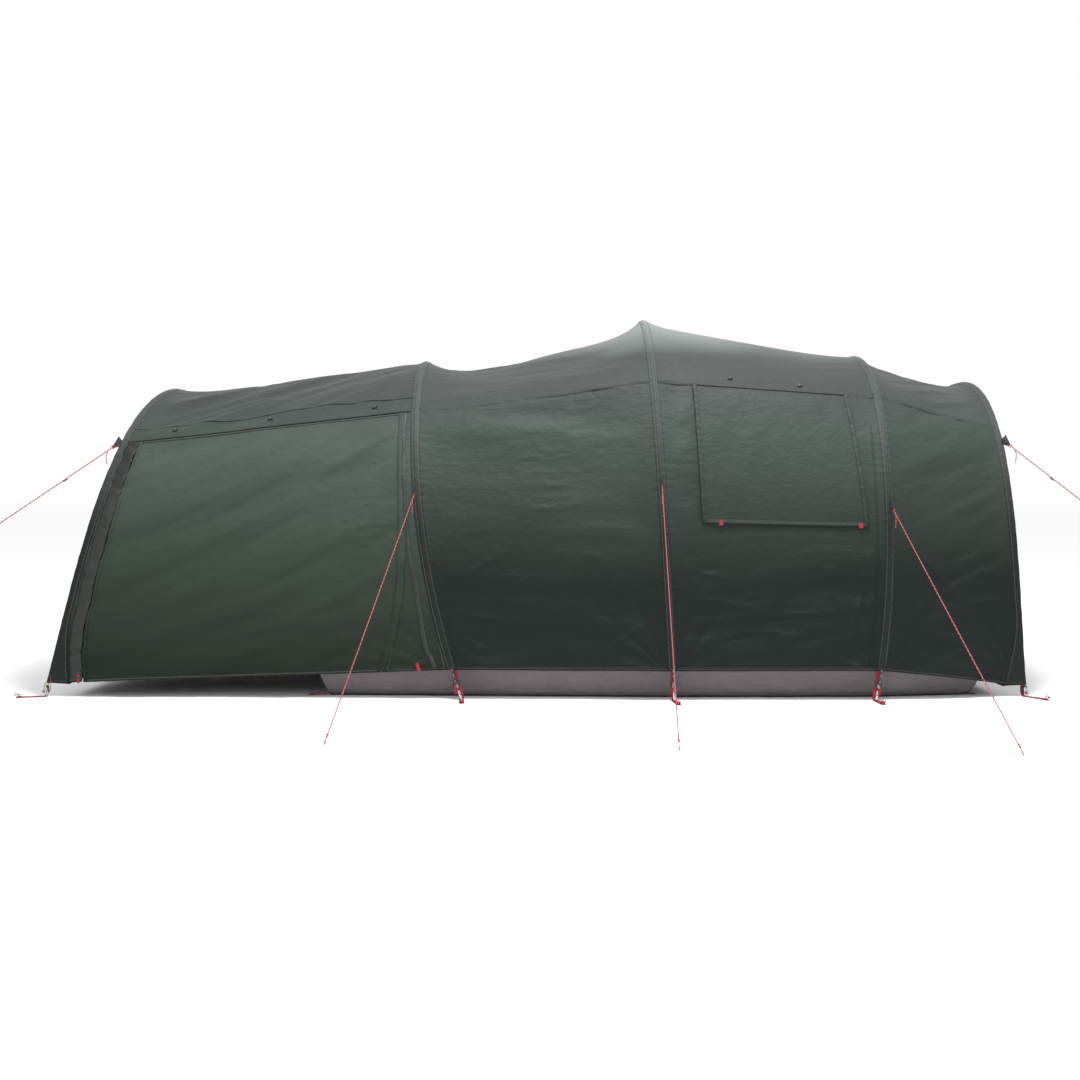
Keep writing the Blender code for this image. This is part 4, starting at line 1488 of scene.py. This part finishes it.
class TENT_OT_guys(bpy.types.Operator):
    """Make the guy ropes with their tabs, runners and pegs"""

    bl_idname = "tent.guys"
    bl_label = "Guy ropes"

    def execute(self, context):
        for arch in ARCHES:
            for side_name, side in SIDES:
                self.guy(arch, side_name, side)
        return {"FINISHED"}

    def guy(self, arch, side_name, side):
        label = f"{arch + 1}_{side_name}"
        base, up, out, pull, tip, rope = (mirrored(points, side) for points in guy_points(arch))
        length = float(np.linalg.norm(np.diff(rope, axis=0), axis=1).sum())
        shape = bmesh.new()
        tube_shape(shape, rope, ROPE_RADIUS, 10)
        made = finished(f"rope_{label}", shape, MATERIALS["rope"], "tent",
                        [f"guy_rope_{label}"])
        self.tab(label, base, up, out, pull, tip)
        self.runner(label, rope, pull)
        self.ground_end(label, rope, pull)

    def tab(self, label, base, up, out, pull, tip):
        edge = unit(up - pull * np.dot(up, pull))
        normal = unit(np.cross(pull, edge))

        def place(u, v):
            half = mix(TAB_BASE * 0.62, 0.007, u ** 0.8)
            start = base - out * 0.007 * (1 - u)[:, None]
            bow = 0.004 * np.sin(math.pi * u) * np.cos(math.pi * (v - 0.5))
            return (mix(start, tip, u[:, None]) + edge * (half * (1 - 2 * v))[:, None]
                    + normal * bow[:, None])

        size = (TAB_LENGTH, TAB_BASE)
        cloth(f"guy_tab_{label}_cloth", (14, 12), place, size, MATERIALS["flap"], "tent", "tab_cloth",
              [f"guy_tab_{label}"])
        share = np.linspace(0, 1, 16)[:, None]
        path = mix(base + pull * 0.006, tip + pull * 0.004, share)
        strip(f"guy_tab_band_{label}", path, np.tile(normal, (16, 1)), 0.012, MATERIALS["black"], "tent",
              lift=0.0045,
              crown=0.001)
        ring = [tip + edge * a + pull * b for a, b in
                ((0.0, -0.006), (0.007, -0.002), (0.008, 0.008), (0.0, 0.014), (-0.008, 0.008),
                 (-0.007, -0.002),
                 (0.0, -0.006))]
        tube(f"guy_ring_{label}", smooth_path(ring, 36), 0.0017, MATERIALS["red_plastic"], "tent")

    def runner(self, label, rope, pull):
        """The slider that shortens the rope, and the loose tail that hangs from the tab."""
        across = unit(np.cross(pull, [0.0, 0.0, 1.0]))
        up = unit(np.cross(across, pull))
        place = rope[8]
        shape = bmesh.new()
        block(shape, (0.026, 0.009, 0.006), facing(place - up * 0.004, pull, up), 0.002)
        finished(f"rope_runner_{label}", shape, MATERIALS["plastic"], "tent", smooth=False)
        start = rope[1] - up * 0.004
        down = np.array([0.0, 0.0, -1.0])
        tail = [start, start + pull * 0.012 + down * 0.010, start + pull * 0.012 + down * 0.035,
                start + pull * 0.008 + down * 0.065]
        tube(f"rope_tail_{label}", smooth_path(tail, 26), 0.0021, MATERIALS["rope"], "tent")

    def ground_end(self, label, rope, pull):
        """The loop knotted round the peg."""
        peg = rope[-1]
        flat = np.array([pull[0], pull[1], 0.0])
        flat /= np.linalg.norm(flat)
        back = peg - flat * 0.016
        hook_peg(f"guy_peg_{label}", back - flat * 0.008 - [0, 0, 0.003], flat)
        sideways = np.array([-flat[1], flat[0], 0.0])
        knot = [peg - pull * 0.050 + sideways * 0.002, peg - pull * 0.046 + sideways * 0.005,
                peg - pull * 0.052 - sideways * 0.004 + [0, 0, 0.003],
                peg - pull * 0.058 + sideways * 0.004]
        tube(f"rope_knot_{label}", smooth_path(knot, 24), 0.0026, MATERIALS["rope"], "tent")


class TENT_OT_trim(bpy.types.Operator):
    """Make the toggles that tie up a rolled door or cover, and the tabs at the door's corners"""

    bl_idname = "tent.trim"
    bl_label = "Toggles and tabs"

    def execute(self, context):
        for side_name, side in SIDES:
            for k, along in enumerate((0.165, 0.50, 0.865)):
                path, out = seam_path(AWNING, side, along, along + 0.01, 4, above=0.052)
                self.toggle(f"door_toggle_{k + 1}_{side_name}", path[0], out[0])
            for k, (along, above) in enumerate(((0.34, 0.040), (0.66, 0.030))):
                path, out = seam_path(WINDOWED, side, along, along + 0.01, 4, above=above)
                self.toggle(f"cover_toggle_{k + 1}_{side_name}", path[0], out[0])
            for k, along in enumerate((DOOR_FRONT - 0.012, 0.925)):
                path, out = skin(AWNING, np.full(14, along), side * np.linspace(0.982, 1.010, 14), 0.004)
                strip(f"door_tab_{k + 1}_{side_name}", path, out, 0.016, MATERIALS["red"], "tent",
                      lift=0.004,
                      crown=0.003)
        return {"FINISHED"}

    def toggle(self, name, place, out):
        """A short bar on a loop of cord."""
        shape = bmesh.new()
        along = unit(np.array([0.9, 0.0, 0.25]))
        side = unit(np.cross(out, along))
        bar = [place + out * 0.006 + along * step for step in (-0.016, -0.012, 0.0, 0.012, 0.016)]
        tube_shape(shape, smooth_path(bar, 9), [0.0022, 0.0036, 0.0042, 0.0040, 0.0038, 0.0040, 0.0042,
                                                0.0036,
                                                0.0022], 12)
        finished(name, shape, MATERIALS["plastic"], "tent", smooth=False)
        loop = [place - side * 0.002, place + out * 0.005 + side * 0.006,
                place + side * 0.020 + out * 0.004,
                place + side * 0.030 + out * 0.001]
        tube(f"{name}_loop", smooth_path(loop, 18), 0.0013, MATERIALS["elastic"], "tent")


class TENT_OT_stage(bpy.types.Operator):
    """Make the floor, the lights and the camera"""

    bl_idname = "tent.stage"
    bl_label = "Stage"

    def execute(self, context):
        settings = context.scene.tent_stage
        self.floor(settings)
        self.sky(context.scene, settings)
        self.light("overhead", OVERHEAD_PLACE, OVERHEAD_TARGET, settings.overhead, OVERHEAD_SIZE)
        self.light("front", FRONT_PLACE, FRONT_TARGET, settings.front, FRONT_SIZE)
        self.camera(context.scene, settings)
        context.scene.view_settings.view_transform = "Standard"
        return {"FINISHED"}

    def floor(self, settings):
        shape = bmesh.new()
        bmesh.ops.create_circle(shape, cap_ends=True, segments=64, radius=FLOOR_RADIUS)
        mesh = bpy.data.meshes.new("floor")
        shape.to_mesh(mesh)
        shape.free()
        graph = Graph("floor")
        mesh.materials.append(graph.finish(Base_Color=(*settings.floor_tone, 1.0), Roughness=1.0,
                                           Specular_IOR_Level=0.0))
        made = bpy.data.objects.new("floor", mesh)
        made.location.z = FLOOR_HEIGHT
        bpy.context.scene.collection.objects.link(made)

    def sky(self, scene, settings):
        world = bpy.data.worlds.new("sky")
        world.use_nodes = True
        world.node_tree.nodes["Background"].inputs["Color"].default_value = (1.0, 1.0, 1.0, 1.0)
        world.node_tree.nodes["Background"].inputs["Strength"].default_value = settings.sky
        scene.world = world

    def light(self, name, place, target, power, size):
        data = bpy.data.lights.new(name, "AREA")
        data.shape = "DISK"
        data.size = size
        data.energy = power
        made = bpy.data.objects.new(name, data)
        made.location = place
        made.rotation_euler = (Vector(target) - Vector(place)).to_track_quat("-Z", "Y").to_euler()
        bpy.context.scene.collection.objects.link(made)

    def camera(self, scene, settings):
        data = bpy.data.cameras.new("camera")
        data.lens = settings.lens
        data.sensor_width = SENSOR_WIDTH
        data.shift_x, data.shift_y = CAMERA_SHIFT
        made = bpy.data.objects.new("camera", data)
        made.location = (CAMERA_X, -settings.camera_distance, settings.camera_height)
        made.rotation_euler = (math.pi / 2, 0.0, 0.0)
        scene.collection.objects.link(made)
        scene.camera = made


# Settings, panel and registration

def tone(name, description, default):
    return FloatVectorProperty(name=name, description=description, default=default, subtype="COLOR", size=3,
                               min=0.0, max=1.0)


def metres(name, description, default):
    return FloatProperty(name=name, description=description, default=default, subtype="DISTANCE",
                         unit="LENGTH", min=0.0)


class TentColours(bpy.types.PropertyGroup):
    """Colours of the tent"""

    # Painted light: the ridge tone is a painted reflection of the sky, and the tones grow darker down to
    # the hem as painted shade. The awning tones are a second, separately lit copy of the same cloth.
    roof_ridge: tone("Ridge", "Colour of the fly at the ridge", (0.1711, 0.1932, 0.1851))
    roof: tone("Roof", "Colour of the roof", (0.0355, 0.0405, 0.0388))
    wall_high: tone("Upper wall", "Colour of the walls below the seam", (0.038, 0.052, 0.0449))
    wall_middle: tone("Middle wall", "Colour of the walls at half height", (0.0252, 0.0377, 0.0286))
    wall_low: tone("Lower wall", "Colour of the walls near the hem", (0.0043, 0.009, 0.0068))
    awning_high: tone("Upper awning", "Colour of the awning's doors at the top", (0.0527, 0.0718, 0.0598))
    awning_middle: tone("Middle awning", "Colour of the awning's doors at half height",
                        (0.0265, 0.0424, 0.03))
    awning_low: tone("Lower awning", "Colour of the awning's doors near the hem", (0.0059, 0.0114, 0.0057))
    sleeve_high: tone("Upper sleeve", "Colour of the pole sleeves at the shoulders",
                      (0.0477, 0.057, 0.0524))
    sleeve_low: tone("Lower sleeve", "Colour of the pole sleeves near the hem", (0.0081, 0.0119, 0.0101))
    tape: tone("Tape", "Colour of seam and hem tapes", (0.0243, 0.0324, 0.0284))
    flap: tone("Flap", "Colour of the storm flaps and guy tabs", (0.0121, 0.0162, 0.0142))
    # Painted shade: this tone is set darker than the door cloth for the shade in the flap's puckers.
    storm_flap: tone("Storm flap", "Colour of the flaps over the door zips", (0.0074, 0.0108, 0.0081))
    skirt: tone("Groundsheet", "Colour of the groundsheet", (0.1541, 0.1359, 0.1415))
    webbing: tone("Webbing", "Colour of the webbing", (0.42, 0.010, 0.028))
    rope: tone("Rope", "Colour of the guy ropes", (0.468, 0.0039, 0.0156))
    rope_fleck: tone("Rope fleck", "Colour of the flecks in the guy ropes", (0.5, 0.36, 0.36))


class TentCloth(bpy.types.PropertyGroup):
    """How the cloth is made"""

    cell: metres("Cell", "Size of the cloth's grid", 0.012)
    thickness: metres("Thickness", "Thickness of the cloth", 0.0008)
    sleeve_radius: metres("Sleeve radius", "How far a sleeve stands off the middle of its pole", 0.0085)
    fold_depth: FloatProperty(name="Fold depth", description="How deep the folds are", default=1.9, min=0.0,
                              max=3.0)


class TentStage(bpy.types.PropertyGroup):
    """Floor, lights and camera"""

    floor_tone: tone("Floor", "Colour of the floor", (0.96, 0.96, 0.96))
    sky: FloatProperty(name="Sky", description="Strength of the even light all round", default=1.0)
    overhead: FloatProperty(name="Overhead", description="Power of the light overhead, in watts",
                            default=400.0)
    front: FloatProperty(name="Front", description="Power of the light at the front, in watts",
                         default=20.0)
    lens: FloatProperty(name="Lens", description="Focal length of the camera, in millimetres",
                        default=44.67)
    camera_distance: metres("Distance", "How far the camera is from the tent's middle", 8.0)
    camera_height: metres("Height", "How high the camera is", 1.07)


OPERATORS = (
    TENT_OT_fly, TENT_OT_sleeves, TENT_OT_side_doors, TENT_OT_windows, TENT_OT_end_walls,
    TENT_OT_groundsheet,
    TENT_OT_feet, TENT_OT_guys, TENT_OT_trim, TENT_OT_stage,
)


class TENT_PT_panel(bpy.types.Panel):
    """The tent's settings and its pieces"""

    bl_idname = "TENT_PT_panel"
    bl_label = "Tunnel tent"
    bl_space_type = "VIEW_3D"
    bl_region_type = "UI"
    bl_category = "Tunnel tent"

    def draw(self, context):
        for settings in (context.scene.tent_cloth, context.scene.tent_colours, context.scene.tent_stage):
            box = self.layout.box()
            for name in settings.__annotations__:
                box.prop(settings, name)
        for operator in OPERATORS:
            self.layout.operator(operator.bl_idname)


GROUPS = {"tent_colours": TentColours, "tent_cloth": TentCloth, "tent_stage": TentStage}


def register():
    for kind in (*GROUPS.values(), *OPERATORS, TENT_PT_panel):
        bpy.utils.register_class(kind)
    for name, group in GROUPS.items():
        setattr(bpy.types.Scene, name, PointerProperty(type=group))


def unregister():
    for name in GROUPS:
        delattr(bpy.types.Scene, name)
    for kind in reversed((*GROUPS.values(), *OPERATORS, TENT_PT_panel)):
        bpy.utils.unregister_class(kind)


def main():
    register()
    make_materials()
    for operator in OPERATORS:
        group, name = operator.bl_idname.split(".")
        getattr(getattr(bpy.ops, group), name)()
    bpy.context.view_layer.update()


if __name__ == "__main__":
    main()
